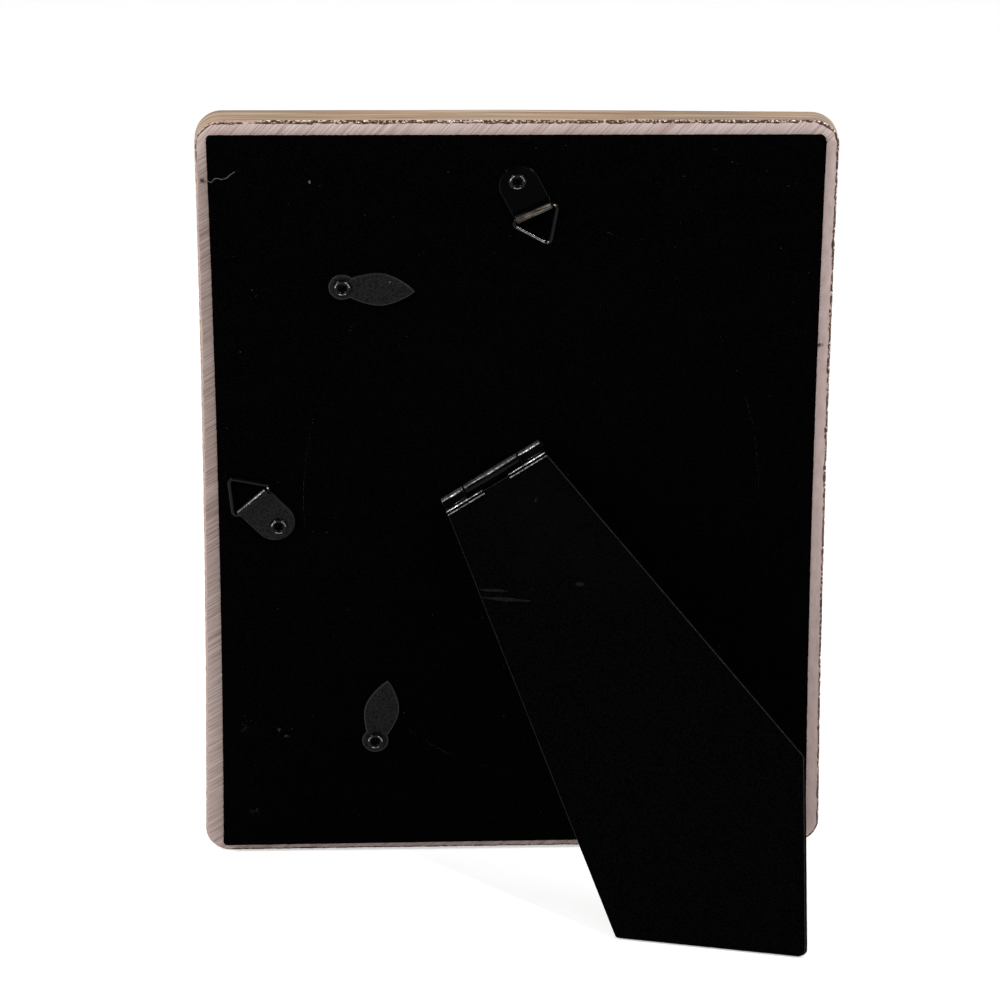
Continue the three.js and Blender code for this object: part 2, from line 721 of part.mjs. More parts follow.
for (const [place, fixing] of Object.entries(BUTTONS)) {
  const button = piece(`turn_button_${place}`, turnButton(), 'dark_steel');
  const rivet = piece(`button_eyelet_${place}`, eyelet(BUTTON_SHEET), 'lacquer');
  button.rotation.y = fixing.turn;
  for (const part of [button, rivet]) {
    part.position.copy(besideDoor(fixing));
    leaning.add(part);
  }
}

for (const [place, fixing] of Object.entries(HANGERS)) {
  const hanger = new THREE.Group();
  hanger.position.copy(besideDoor(fixing));
  hanger.rotation.y = fixing.turn;
  const ring = piece(`hanger_ring_${place}`, hangerRing(), 'lacquer');
  ring.position.set(0, foldHeight, -STRAP_LENGTH);
  ring.rotation.x = Math.cos(fixing.turn) > 0 ? hangingTilt(fixing.turn) : againstBoard;
  hanger.add(piece(`hanger_strap_${place}`, hangerStrap(), place === 'top' ? 'lacquer' : 'dark_steel'), ring);
  const rivet = piece(`hanger_eyelet_${place}`, eyelet(strapThick), 'lacquer');
  rivet.position.copy(hanger.position);
  leaning.add(hanger, rivet);
}

const hinge = new THREE.Group();
hinge.position.set(hingeX, hingeHeight, hingeZ);
hinge.rotation.y = HINGE_SLANT;
leaning.add(hinge);
const leg = new THREE.Group();
leg.rotation.x = LEG_OPEN;
leg.add(
  piece('hinge_moving_leaf', movingLeaf(), 'lacquer'),
  piece('leg_board', legBoard(), 'board'),
  piece('leg_velour', legVelour(), 'velour'),
);
hinge.add(
  piece('hinge_fixed_leaf', fixedLeaf(), 'lacquer'),
  piece('hinge_pin', bar(PIN / 2, -hingeHalf, hingeHalf), 'dark_steel'),
  leg,
);

// The origin lies under the middle of the whole frame, on the table
frame.updateMatrixWorld(true);
const extent = new THREE.Box3().setFromObject(frame, true);
const middle = extent.getCenter(new THREE.Vector3());
frame.position.set(-middle.x, -middle.y, -extent.min.z);
frame.updateMatrixWorld(true);

export default frame;
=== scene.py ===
# A picture frame for an oval picture, seen from the back: each section below is one piece or one group of
# pieces, in the order in which the frame is put together.
import random
from math import atan2, cos, degrees, hypot, pi, radians, sin, sqrt, tan

import bmesh
import bpy
from mathutils import Matrix, Vector, noise


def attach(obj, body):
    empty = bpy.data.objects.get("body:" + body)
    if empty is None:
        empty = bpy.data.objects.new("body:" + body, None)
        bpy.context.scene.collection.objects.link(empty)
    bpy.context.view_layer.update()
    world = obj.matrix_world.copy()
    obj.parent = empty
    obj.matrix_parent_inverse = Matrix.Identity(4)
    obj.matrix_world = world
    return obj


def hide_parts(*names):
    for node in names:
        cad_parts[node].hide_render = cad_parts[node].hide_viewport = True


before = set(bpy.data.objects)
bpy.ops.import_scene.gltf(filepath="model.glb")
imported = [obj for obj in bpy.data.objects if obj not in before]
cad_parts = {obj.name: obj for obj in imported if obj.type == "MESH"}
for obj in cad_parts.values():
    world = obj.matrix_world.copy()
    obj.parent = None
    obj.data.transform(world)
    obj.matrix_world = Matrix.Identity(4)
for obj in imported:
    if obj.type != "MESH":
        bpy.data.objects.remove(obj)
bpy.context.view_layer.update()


# --- The resin casting ---
# One block of resin poured in a rubber mould: a rounded rim, a sunk field and a bead round the oval. It is
# painted antique bronze, and afterwards its back is belt-sanded flat, which bares the pinkish resin and
# leaves a chipped line of paint where back and sides meet.
MM = 0.001
LEAN = radians(12)
BACK_EDGE = Vector((0, -45.681, -0.208)) * MM
on_back = Matrix.Translation(BACK_EDGE) @ Matrix.Rotation(-LEAN, 4, "X")

CASTING_WIDTH = 197.6
CASTING_HEIGHT = 258.0
CASTING_DEPTH = 16.5
CASTING_CORNER = 8.5
WAIST = 1.1
RIM = 14.0
RIM_STEP = 6.0
SIDE_FLAT = 7.0
FIELD = -14.1
SIGHT = (60.0, 85.5)
COVE = 9.0
BEAD = 7.0
BEAD_RISE = 2.6
LEDGE = 4.0
REBATE = -6.0
SIGHT_EDGE = -7.5
CORNER_POINTS = 18
SIDE_POINTS = 250
END_POINTS = 190
INNER_CORNER = 2.0
SAND_INSETS = (5.2, 2.0)
OUT_OF_TRUE = {(1, 1): (-0.8, 0.9), (-1, 1): (0.3, -0.5), (-1, -1): (-0.6, 0.8), (1, -1): (1.5, 0.0)}
RIM_SLUMP = 0.9
BORE_SIDES = 40
BORE_DEPTH = 20.0
middle = CASTING_HEIGHT / 2


def flat(x, z):
    return Vector((x, 0, z))


def off(y, z=0.0):
    return Vector((0, y, z))


def outline(inset, corner, rounder=0.0):
    """The casting's outline that far inside its edge, as (x, z) from its middle, with waisted sides."""
    half_x, half_z = CASTING_WIDTH / 2 - inset, CASTING_HEIGHT / 2 - inset
    points = []
    corners = (corner, corner + rounder, corner, corner)
    for quarter, (right, up) in enumerate(((1, 1), (-1, 1), (-1, -1), (1, -1))):
        corner = corners[quarter]
        centre = (right * (half_x - corner), up * (half_z - corner))
        for step in range(CORNER_POINTS + 1):
            turn = (quarter + step / CORNER_POINTS) * pi / 2
            points.append((centre[0] + corner * cos(turn), centre[1] + corner * sin(turn)))
        following = corners[(quarter + 1) % 4]
        if quarter in (0, 2):
            count, start, end = END_POINTS, right * (half_x - corner), -right * (half_x - following)
        else:
            count, start, end = SIDE_POINTS, up * (half_z - corner), -up * (half_z - following)
        for step in range(1, count):
            way = start + (end - start) * step / count
            points.append((way, up * half_z) if quarter in (0, 2) else (right * half_x, way))
    return [(x * (1 - WAIST / half_x * (1 - (z / half_z) ** 2)), z) for x, z in points]


directions = [atan2(z / SIGHT[1], x / SIGHT[0]) for x, z in outline(RIM + RIM_STEP, INNER_CORNER)]


def oval_ring(half, grow, y, across=0.0, up=0.0):
    """A ring round an oval, its points in line with those of the outline."""
    return [
        Vector((across + (half[0] + grow) * cos(turn), y, up + (half[1] + grow) * sin(turn)))
        for turn in directions
    ]


def drawn_out(point, pulls):
    """A point moved by its share of how far each corner is out of true."""
    across, up = point.x / CASTING_WIDTH + 0.5, point.z / CASTING_HEIGHT + 0.5
    for (side, end), (x, z) in pulls.items():
        share = (across if side > 0 else 1 - across) * (up if end > 0 else 1 - up)
        point = point + flat(x, z) * share
    return point


def edge_ring(inset, y, corner=None):
    """A ring round the casting at one height off its back."""
    ring = [Vector((x, y, z)) for x, z in outline(inset, corner or max(CASTING_CORNER - inset, INNER_CORNER))]
    return [drawn_out(point, OUT_OF_TRUE) for point in ring]


def on_board(name, turn=0.0):
    """Where a piece stands on the board: round the eyelet of that name, and turned."""
    return on_back @ Matrix.Translation(flat(*EYELETS[name]) * MM) @ Matrix.Rotation(turn, 4, "Y")


def skin(rings, closed=True):
    """Points and four-sided faces from rings of equal count laid side by side."""
    count = len(rings[0])
    faces = []
    for ring in range(len(rings) if closed else len(rings) - 1):
        a, b = ring * count, (ring + 1) % len(rings) * count
        faces += [(a + s, a + (s + 1) % count, b + (s + 1) % count, b + s) for s in range(count)]
    return [point for ring in rings for point in ring], faces


def new_mesh(name, points, faces):
    """A mesh from points in millimetres, its faces turned outward."""
    mesh = bpy.data.meshes.new(name)
    mesh.from_pydata([tuple(c * MM for c in point) for point in points], [], faces)
    tidy = bmesh.new()
    tidy.from_mesh(mesh)
    bmesh.ops.recalc_face_normals(tidy, faces=tidy.faces)
    tidy.to_mesh(mesh)
    tidy.free()
    return mesh


def placed(name, data):
    """A new object in the scene."""
    thing = bpy.data.objects.new(name, data)
    bpy.context.scene.collection.objects.link(thing)
    return thing


def drilled(mesh, bores):
    """The mesh with round holes through it across its y, each given as radius, x and z."""
    drill = bmesh.new()
    for radius, x, z in bores:
        stand = Matrix.Translation(flat(x, z) * MM) @ Matrix.Rotation(pi / 2, 4, "X")
        wide = radius * MM
        bmesh.ops.create_cone(
            drill, cap_ends=True, segments=BORE_SIDES, radius1=wide, radius2=wide, depth=BORE_DEPTH * MM,
            matrix=stand,
        )
    tool = bpy.data.meshes.new("drill")
    drill.to_mesh(tool)
    drill.free()
    blank, bit = (placed(data.name, data) for data in (mesh, tool))
    cut = blank.modifiers.new("bores", "BOOLEAN")
    cut.object = bit
    cut.operation = "DIFFERENCE"
    cut.solver = "EXACT"
    pierced = bpy.data.meshes.new_from_object(blank.evaluated_get(bpy.context.evaluated_depsgraph_get()))
    for thing in (blank, bit):
        bpy.data.objects.remove(thing)
    return pierced


def add_piece(name, shape, place, body, finishes, stands_for=(), sharp=35, bores=(), zones=()):
    """One mesh piece, its points in millimetres where it is placed."""
    mesh = new_mesh(name, *shape)
    for finish in finishes:
        mesh.materials.append(finish)
    for face, zone in zip(mesh.polygons, zones):
        face.material_index = zone
    if bores:
        mesh = drilled(mesh, bores)
    mesh.shade_smooth()
    mesh.set_sharp_from_angle(angle=radians(sharp))
    piece = placed(name, mesh)
    piece.matrix_world = place
    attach(piece, body)
    if stands_for:
        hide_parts(*stands_for)
    return piece


def new_finish(name, **plain):
    """A material with plain numbers set on its shader's own sockets."""
    material = bpy.data.materials.new(name)
    material.use_nodes = True
    for socket, value in plain.items():
        material.node_tree.nodes["Principled BSDF"].inputs[socket.replace("_", " ")].default_value = value
    return material


def new_node(owner, kind, **fed):
    """A node, each of its sockets set to a number or colour, or linked to another node's output."""
    node = owner.node_tree.nodes.new(f"ShaderNode{kind}")
    for socket, value in fed.items():
        feed(owner, node.inputs[socket.replace("_", " ")], value)
    return node


def feed(owner, socket, value):
    if isinstance(value, (int, float)):
        socket.default_value = value
    elif isinstance(value, tuple):
        socket.default_value = (*value, 1)
    else:
        owner.node_tree.links.new(value, socket)


def grain(owner, lengths, turn=(0, 0, 0), detail=3.0, rough=0.55, source="Object"):
    """Noise whose lumps are that many millimetres long, the same or not the same each way."""
    each_way = lengths if isinstance(lengths, tuple) else (lengths,) * 3
    where = new_node(owner, "TexCoord").outputs[source]
    lay = new_node(owner, "Mapping", Vector=where)
    lay.vector_type = "TEXTURE"
    lay.inputs["Rotation"].default_value = turn
    lay.inputs["Scale"].default_value = [length * MM for length in each_way]
    lumps = new_node(owner, "TexNoise", Vector=lay.outputs["Vector"], Scale=1.0, Detail=detail, Roughness=rough)
    return lumps.outputs["Fac"]


def ramp(owner, amount, *stops):
    """Colours along an amount from 0 to 1: (place, red, green, blue) or (place, grey) each."""
    colours = new_node(owner, "ValToRGB", Fac=amount)
    elements = colours.color_ramp.elements
    while len(elements) < len(stops):
        elements.new(0.5)
    for element, (place, *tint) in zip(elements, stops):
        element.position = place
        element.color = (*(tint * 3)[:3], 1)
    return colours.outputs["Color"]


def mix(owner, amount, first, second):
    """The second colour over the first by an amount."""
    blend = new_node(owner, "Mix")
    blend.data_type = "RGBA"
    for socket, value in ((0, amount), (6, first), (7, second)):
        feed(owner, blend.inputs[socket], value)
    return blend.outputs[2]


def span(owner, amount, start, end, low=0.0, high=1.0, ease="SMOOTHSTEP"):
    """An amount that goes from low to high as its source goes from start to end."""
    spread = new_node(owner, "MapRange", Value=amount, From_Min=start, From_Max=end, To_Min=low, To_Max=high)
    spread.interpolation_type = ease
    return spread.outputs["Result"]


def along(owner, axis, *limits, source="Object"):
    """A span along the piece's own x, y or z, in metres."""
    where = new_node(owner, "TexCoord").outputs[source]
    return span(owner, new_node(owner, "SeparateXYZ", Vector=where).outputs[axis], *limits)


def joined(owner, operation, first, second):
    """Two amounts made one by a sum of that kind."""
    both = new_node(owner, "Math")
    both.operation = operation
    feed(owner, both.inputs[0], first)
    feed(owner, both.inputs[1], second)
    return both.outputs["Value"]


def times(owner, first, second):
    return joined(owner, "MULTIPLY", first, second)


def wire(finish, output, socket):
    feed(finish, finish.node_tree.nodes["Principled BSDF"].inputs[socket], output)


def colour(finish, output):
    wire(finish, output, "Base Color")


def relief(finish, height, depth):
    """Bumps that deep, in millimetres."""
    wire(finish, new_node(finish, "Bump", Distance=depth * MM, Height=height).outputs["Normal"], "Normal")


def grained(name, lengths, *stops, detail=3.0, rough=0.55, bumps=0.0, gloss=None, **plain):
    """A finish with one grain, which colours it and, where asked for, bumps it and spreads its roughness."""
    finish = new_finish(name, **plain)
    lumps = grain(finish, lengths, detail=detail, rough=rough)
    colour(finish, ramp(finish, lumps, *stops))
    if bumps:
        relief(finish, lumps, bumps)
    if gloss:
        wire(finish, span(finish, lumps, *gloss), "Roughness")
    return finish


def coat(node, finish):
    """A piece of the frame that keeps its own shape takes a finish."""
    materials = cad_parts[node].data.materials
    materials.clear()
    materials.append(finish)


LAP_TOP = 0.5
LAP_RIGHT = 0.42
LAP_LOW = 0.3
LAP_MOST = 1.3
ROUND_STEPS = 12
STEP_STEPS = 8
BEAD_STEPS = 12
COVE_STEPS = 10


def rough_edge(point, depth):
    """How far the chipped back edge wanders in or out at a point."""
    fine = noise.noise(point * 1.3) + 0.6 * noise.noise(point * 3.1)
    return depth * fine + 0.1 * noise.noise(point * 0.22)


def paint_lap(point):
    """How far the paint laps round onto the sanded back at a point of the edge."""
    wander = 0.55 + 0.9 * abs(noise.noise(point * 0.11)) + 0.8 * noise.noise(point * 0.5)
    if point.z > middle - 3:
        return LAP_TOP * max(wander, 0.25)
    if point.x < 0 and point.z > 0:
        return LAP_RIGHT * max(wander, 0.2)
    return LAP_LOW * max(wander, 0.2)


BACK, CHIPS, PAINT, BARE, BURNT = range(5)
rings, zones = [], []


def lay_ring(ring, zone):
    rings.append(ring)
    zones.append(zone)


lay_ring(oval_ring(SIGHT, LEDGE, REBATE), BARE)
lay_ring(oval_ring(SIGHT, LEDGE, 0.0), BACK)
for inset in SAND_INSETS:
    inside = edge_ring(inset, 0.0)
    lay_ring(inside, BACK)
for inset, y, zone, wander in (
    (0.55, 0.0, BURNT, 0.11),
    (0.38, -0.06, CHIPS, 0.12),
    (0.22, -0.2, CHIPS, 0.1),
    (0.07, -0.45, CHIPS, 0.08),
    (0.02, -0.8, PAINT, 0.05),
    (0.0, -1.3, PAINT, 0.0),
):
    ring = edge_ring(inset, y)
    for at, point in enumerate(ring):
        outward = (point - inside[at]).normalized()
        point += outward * min(rough_edge(point, wander), inset)
        if y == 0:
            point -= outward * min(paint_lap(point), LAP_MOST)
    lay_ring(ring, zone)
for y in (-2.5, -4.0, -5.5, -SIDE_FLAT):
    lay_ring(edge_ring(0.0, y), PAINT)
for step in range(1, ROUND_STEPS + 1):
    turn = step / ROUND_STEPS * pi / 2
    y = -SIDE_FLAT - (CASTING_DEPTH - SIDE_FLAT) * sin(turn)
    lay_ring(edge_ring(RIM * (1 - cos(turn)), y), PAINT)
for step in range(1, STEP_STEPS + 1):
    fall = (1 - cos(step / STEP_STEPS * pi)) / 2
    y = -CASTING_DEPTH + (CASTING_DEPTH + FIELD) * fall
    lay_ring(edge_ring(RIM + RIM_STEP * step / STEP_STEPS, y, INNER_CORNER), PAINT)
outer = rings[-1]
inner = oval_ring(SIGHT, COVE + BEAD, FIELD)
for share in (0.33, 0.66):
    lay_ring([a.lerp(b, share) for a, b in zip(outer, inner)], PAINT)
for step in range(BEAD_STEPS + 1):
    turn = step / BEAD_STEPS * pi
    grow = COVE + BEAD / 2 + BEAD / 2 * cos(turn)
    lay_ring(oval_ring(SIGHT, grow, FIELD - BEAD_RISE * sin(turn)), PAINT)
for step in range(1, COVE_STEPS + 1):
    turn = step / COVE_STEPS * pi / 2
    y = FIELD + (SIGHT_EDGE - FIELD) * sin(turn)
    lay_ring(oval_ring(SIGHT, COVE * cos(turn), y), PAINT)
lay_ring(oval_ring(SIGHT, 0.0, REBATE), BARE)
for ring, zone in zip(rings, zones):
    for point in ring:
        if zone == PAINT:
            swell = 0.16 * noise.noise(point / 55) + 0.05 * noise.noise(point / 7)
            point += Vector((point.x / CASTING_WIDTH, -0.3, point.z / CASTING_HEIGHT)) * swell
            top_right = max(point.z / middle, 0) * max(-2 * point.x / CASTING_WIDTH, 0)
            point.z -= RIM_SLUMP * top_right * min(-point.y / 5, 1)
        point.z += middle

sanded = new_finish("sanded_resin", Roughness=0.72, Specular_IOR_Level=0.3)
across_top = grain(sanded, (30, 900, 0.5), (0, radians(48), 0), 3, 0.7)
across_side = grain(sanded, (24, 900, 0.5), (0, radians(33), 0), 3, 0.7)
at_top = along(sanded, "Z", 0.247, 0.252)
lines = mix(sanded, at_top, across_side, across_top)
blotch = grain(sanded, 14, detail=2)
tone = ramp(sanded, lines, (0.38, 0.31, 0.215, 0.195), (0.47, 0.46, 0.355, 0.33), (0.6, 0.57, 0.47, 0.45))
warm = mix(sanded, span(sanded, blotch, 0.35, 0.75, 0, 0.35), tone, (0.45, 0.33, 0.29))
dusty = ramp(sanded, lines, (0.36, 0.19, 0.125, 0.11), (0.46, 0.27, 0.195, 0.175), (0.62, 0.40, 0.31, 0.285))
on_left = along(sanded, "X", 0.080, 0.094)
upper_left = times(sanded, on_left, along(sanded, "Z", 0.03, 0.13, 0.45, 0.95))
below_corner = times(sanded, upper_left, along(sanded, "Z", 0.252, 0.238))
left_tone = mix(sanded, below_corner, warm, dusty)
smooth = grain(sanded, (1.6, 1.6, 5), detail=5)
right_tone = ramp(sanded, smooth, (0.3, 0.45, 0.34, 0.32), (0.7, 0.57, 0.445, 0.42))
on_right = times(sanded, along(sanded, "X", -0.086, -0.091), along(sanded, "Z", 0.252, 0.243))
colour(sanded, mix(sanded, on_right, left_tone, right_tone))
relief(sanded, lines, 0.06)

chips = new_finish("chipped_paint_line", Specular_IOR_Level=0.3)
scatter = grain(chips, 0.8, detail=4, rough=0.65)
flakes = ramp(
    chips, scatter, (0.38, 0.014, 0.007, 0.004), (0.49, 0.07, 0.032, 0.017), (0.54, 0.36, 0.19, 0.11),
    (0.58, 0.95, 0.86, 0.78),
)
left_side = along(chips, "X", 0.0778, 0.0786)
calm = ramp(
    chips, scatter, (0.36, 0.16, 0.09, 0.06), (0.46, 0.36, 0.25, 0.20), (0.60, 0.52, 0.38, 0.31),
    (0.68, 0.85, 0.70, 0.60),
)
colour(chips, mix(chips, left_side, flakes, calm))
wire(chips, span(chips, scatter, 0.50, 0.60, 0.0, 0.85), "Metallic")
wire(chips, span(chips, scatter, 0.42, 0.6, 0.65, 0.22), "Roughness")
relief(chips, scatter, 0.25)

burnt = new_finish("burnt_paint_edge", Roughness=0.7, Specular_IOR_Level=0.2)
broken = grain(burnt, 1.6, detail=4, rough=0.65)
scorch = ramp(burnt, broken, (0.48, 0.04, 0.02, 0.012), (0.54, 0.14, 0.08, 0.055), (0.60, 0.50, 0.37, 0.32))
low_left = times(burnt, along(burnt, "X", 0.090, 0.095), along(burnt, "Z", 0.249, 0.243))
colour(burnt, mix(burnt, low_left, scorch, (0.44, 0.33, 0.29)))
relief(burnt, broken, 0.15)

bronze = new_finish("antique_bronze_paint", Specular_IOR_Level=0.3, Metallic=0.12)
streaks = grain(bronze, (60, 1.5, 1), detail=4, source="UV")
cloud = grain(bronze, (38, 6, 1), detail=3, source="UV")
brown = ramp(bronze, streaks, (0.34, 0.17, 0.10, 0.055), (0.5, 0.34, 0.215, 0.125), (0.68, 0.52, 0.36, 0.24))
colour(bronze, mix(bronze, span(bronze, cloud, 0.45, 0.7, 0, 0.55), brown, (0.24, 0.18, 0.12)))
wire(bronze, span(bronze, streaks, 0.3, 0.7, 0.5, 0.3), "Roughness")
relief(bronze, streaks, 0.12)

bare = grained(
    "unpainted_resin", 3, (0.3, 0.42, 0.33, 0.29), (0.7, 0.56, 0.46, 0.42), detail=5, bumps=0.15, Roughness=0.6
)

casting = add_piece(
    "casting", skin(rings), on_back, "frame", (sanded, chips, bronze, bare, burnt), ("frame_casting",),
    zones=[zone for zone in zones for _ in rings[0]],
)
round_edge = [0.0]
widest = rings[zones.index(PAINT)]
for here, there in zip(widest, widest[1:] + widest[:1]):
    round_edge.append(round_edge[-1] + (there - here).length)
over_section = [0.0]
for here, there in zip(rings, rings[1:] + rings[:1]):
    over_section.append(over_section[-1] + (there[0] - here[0]).length)
count = len(rings[0])
run = casting.data.uv_layers.new(name="run")
for index, face in enumerate(casting.data.polygons):
    ring, step = divmod(index, count)
    for loop in face.loop_indices:
        vertex_ring, vertex_step = divmod(casting.data.loops[loop].vertex_index, count)
        u = round_edge[count if step == count - 1 and vertex_step == 0 else vertex_step]
        v = over_section[len(rings) if ring == len(rings) - 1 and vertex_ring == 0 else vertex_ring]
        run.data[loop].uv = (u * MM, v * MM)


# --- Glass, picture insert and backing card ---
# They drop into the rebate from behind: a 2 mm oval pane, a plain paper insert and a grey-brown card. The
# pane's edge is ground, and the insert has only the faint tooth of paper.
glass = new_finish(
    "float_glass", Base_Color=(0.93, 0.97, 0.95, 1), Roughness=0.02, IOR=1.5, Transmission_Weight=1.0
)
relief(glass, grain(glass, 60, detail=1), 0.02)
paper = grained(
    "insert_paper", 0.5, (0.3, 0.60, 0.57, 0.50), (0.7, 0.68, 0.65, 0.58), detail=4, bumps=0.02,
    Roughness=0.8, Specular_IOR_Level=0.25,
)
card = grained(
    "grey_card", (4, 1.2, 0.6), (0.3, 0.20, 0.17, 0.135), (0.7, 0.38, 0.33, 0.27), detail=5, rough=0.65,
    bumps=0.08, Roughness=0.9, Specular_IOR_Level=0.2,
)
for node, finish in (("oval_glass", glass), ("oval_print", paper), ("backing_card", card)):
    coat(node, finish)


# --- The boards ---
# Back, oval door and leg are stamped from brown hardboard: pressed wood fibre with a smooth face and a
# rough, fuzzy cut edge. Little of it shows once the velour paper is glued on.
hardboard = grained(
    "hardboard", (3.5, 0.4, 1.2), (0.28, 0.085, 0.047, 0.026), (0.72, 0.24, 0.145, 0.08), detail=6, rough=0.7,
    bumps=0.12, Roughness=0.85, Specular_IOR_Level=0.25,
)
for node in ("back_board", "door_board", "leg_board"):
    coat(node, hardboard)


# --- Velour of the back board and of the door ---
# Black flocked paper: a nap of short fibres that drinks nearly all light. It is glued over the board before
# the oval is stamped out, so its edges dip a little at the cut, and fibres stick out wherever it is cut.
BOARD_INSET = 4.6
BOARD_CORNER = 1.4
VELOUR_TOP = 3.3
VELOUR = 0.4
BOARD_BOTTOM = 0.3
BOARD_TOP = 2.7
DOOR_TOP = 3.26
DOOR = (71.3, 98.0)
DOOR_X = -5.0
DOOR_Z = 129.0
KERF = 0.45
CUT_FUZZ = 0.15
FOLD = 0.35
FOLD_STEPS = 4
BORE = 1.9
BOARD_OUT_OF_TRUE = {(1, 1): (0.1, 1.1), (-1, 1): (0.0, -0.35), (-1, -1): (-0.7, 0.35), (1, -1): (0.2, -0.85)}
ROUNDER = 0.6
EYELETS = {
    "upper_button": (53.53, 204.82),
    "lower_button": (44.77, 43.44),
    "top_hanger": (-0.13, 240.42),
    "side_hanger": (74.44, 122.29),
}

velour = new_finish("black_velour", Roughness=1.0, Specular_IOR_Level=0.0)
nap = grain(velour, 0.45, detail=2, rough=0.6)
brushed = grain(velour, (40, 40, 9), detail=3)
deep = ramp(velour, nap, (0.38, 0.0001), (0.64, 0.0015, 0.0015, 0.0016))
worn = mix(velour, span(velour, brushed, 0.4, 0.8, 0, 0.35), deep, (0.0012, 0.0012, 0.0014))
colour(velour, worn)
relief(velour, nap, 0.25)


def fold_over(points_at, outer_inset, top, bottom, inside):
    """Rings of a sheet that comes up a wall, turns over it and lies flat, from inside to out."""
    laid = [points_at(outer_inset + inside, bottom), points_at(outer_inset, bottom)]
    for step in range(FOLD_STEPS + 1):
        turn = step / FOLD_STEPS * pi / 2
        lift = top - FOLD + FOLD * sin(turn)
        laid.append(points_at(outer_inset + FOLD * (1 - cos(turn)), lift))
    return laid


def wavering(point, much, across, up):
    """A point of a cut edge, moved a little by noise that is that fine each way."""
    return point + flat(noise.noise(point * across), noise.noise(point * up)) * much


def board_ring(inset, y):
    corner = max(BOARD_CORNER - (inset - BOARD_INSET), 1)
    true = [Vector((x, y, z)) for x, z in outline(inset, corner, ROUNDER)]
    ring = [drawn_out(point, BOARD_OUT_OF_TRUE) + flat(0, middle) for point in true]
    return [wavering(point, 0.09, 0.9, 0.8) for point in ring]


def door_ring(inset, y):
    return oval_ring(DOOR, CUT_FUZZ - inset, y, DOOR_X, DOOR_Z)


def hole_ring(inset, y):
    return oval_ring(DOOR, KERF - CUT_FUZZ + inset, y, DOOR_X, DOOR_Z)


def lid(rings, centre, top, under):
    """A sheet from rings that go from its under side round its edge to its top, fanned shut at both ends."""
    points, faces = skin(rings, closed=False)
    count = len(rings[0])
    last = len(points) - count
    points += [centre + off(under), centre + off(top)]
    faces += [((s + 1) % count, s, len(points) - 2) for s in range(count)]
    faces += [(last + s, last + (s + 1) % count, len(points) - 1) for s in range(count)]
    return points, faces


under = BOARD_TOP + 0.2
back_rings = fold_over(board_ring, BOARD_INSET, VELOUR_TOP, BOARD_BOTTOM, VELOUR)
lip = fold_over(hole_ring, 0, DOOR_TOP, under, VELOUR)[1:]
back_rings += lip[::-1]
back_rings.append(board_ring(BOARD_INSET + VELOUR, under))
add_piece(
    "back_velour_sheet", skin(back_rings), on_back, "frame", (velour,), ("back_velour",), sharp=80,
    bores=[(BORE, x, z) for x, z in EYELETS.values()],
)
over_door = fold_over(door_ring, 0, DOOR_TOP, under, VELOUR)[1:]
add_piece(
    "door_velour_sheet", lid(over_door, flat(DOOR_X, DOOR_Z), DOOR_TOP, under), on_back, "frame",
    (velour,), ("door_velour",), sharp=80,
)


# --- Turn buttons ---
# Two leaf-shaped buttons stamped from 0.8 mm steel and blackened, so they stay dull. They are riveted by
# their eyes beside the oval door, and their leaves turn over its edge to hold it in.
HARDWARE = 3.6
SHEET = 0.8
EYE = 4.25
NECK = (3.4, -2.55)
BROADEST = (5.55, -11.3)
SHOULDER = 3.6
FLANK = 4.2
TIP = (0.6, -21.9)
POINT = -22.35
BEVEL_RINGS = (3, 4, 5)


def curve(pulls, steps):
    """Points along a Bezier curve, all but its last."""
    laid = []
    for step in range(steps):
        level = list(pulls)
        while len(level) > 1:
            level = [a.lerp(b, step / steps) for a, b in zip(level, level[1:])]
        laid.append(level[0])
    return laid


def drawn_in(loop, by, lift):
    """A flat clockwise loop moved inward all round and set at a height."""
    drawn = []
    for at, point in enumerate(loop):
        way = (loop[(at + 1) % len(loop)] - loop[at - 1]).normalized()
        drawn.append(point + flat(way.z, -way.x) * by + off(lift))
    return drawn


def leaf_outline():
    start, end = pi / 2, atan2(NECK[1], NECK[0])
    arc = [start + (end - start) * step / 28 for step in range(28)]
    half = [flat(EYE * cos(turn), EYE * sin(turn)) for turn in arc]
    broad, tip = flat(*BROADEST), flat(*TIP)
    half += curve((flat(*NECK), broad + flat(0, SHOULDER), broad), 16)
    half += curve((broad, broad - flat(0, FLANK), flat(3 * TIP[0], TIP[1] + 2 * TIP[0]), tip), 26)
    half += curve((tip, flat(TIP[0] / 2, POINT), flat(0, POINT)), 5)
    return half + [flat(0, POINT)] + [flat(-point.x, point.z) for point in half[:0:-1]]


def round_hole(loop, radius, lift):
    """A hole's rim, its points in line with those of the loop about the eye."""
    return [flat(point.x, point.z).normalized() * radius + off(lift) for point in loop]


leaf = leaf_outline()
top_of_sheet = HARDWARE + SHEET
inner_top = [round_hole(leaf, BORE + 0.12, top_of_sheet), round_hole(leaf, BORE, top_of_sheet - 0.12)]
button_rings = [round_hole(leaf, BORE, HARDWARE)]
for by, lift in (
    (0.16, HARDWARE), (0.0, HARDWARE + 0.14), (0.0, top_of_sheet - 0.3), (0.05, top_of_sheet - 0.14),
    (0.2, top_of_sheet - 0.03), (0.42, top_of_sheet),
):
    button_rings.append(drawn_in(leaf, by, lift))
crown = button_rings[-1]
button_rings += [[a.lerp(b, share) for a, b in zip(crown, inner_top[0])] for share in (0.35, 0.7)] + inner_top

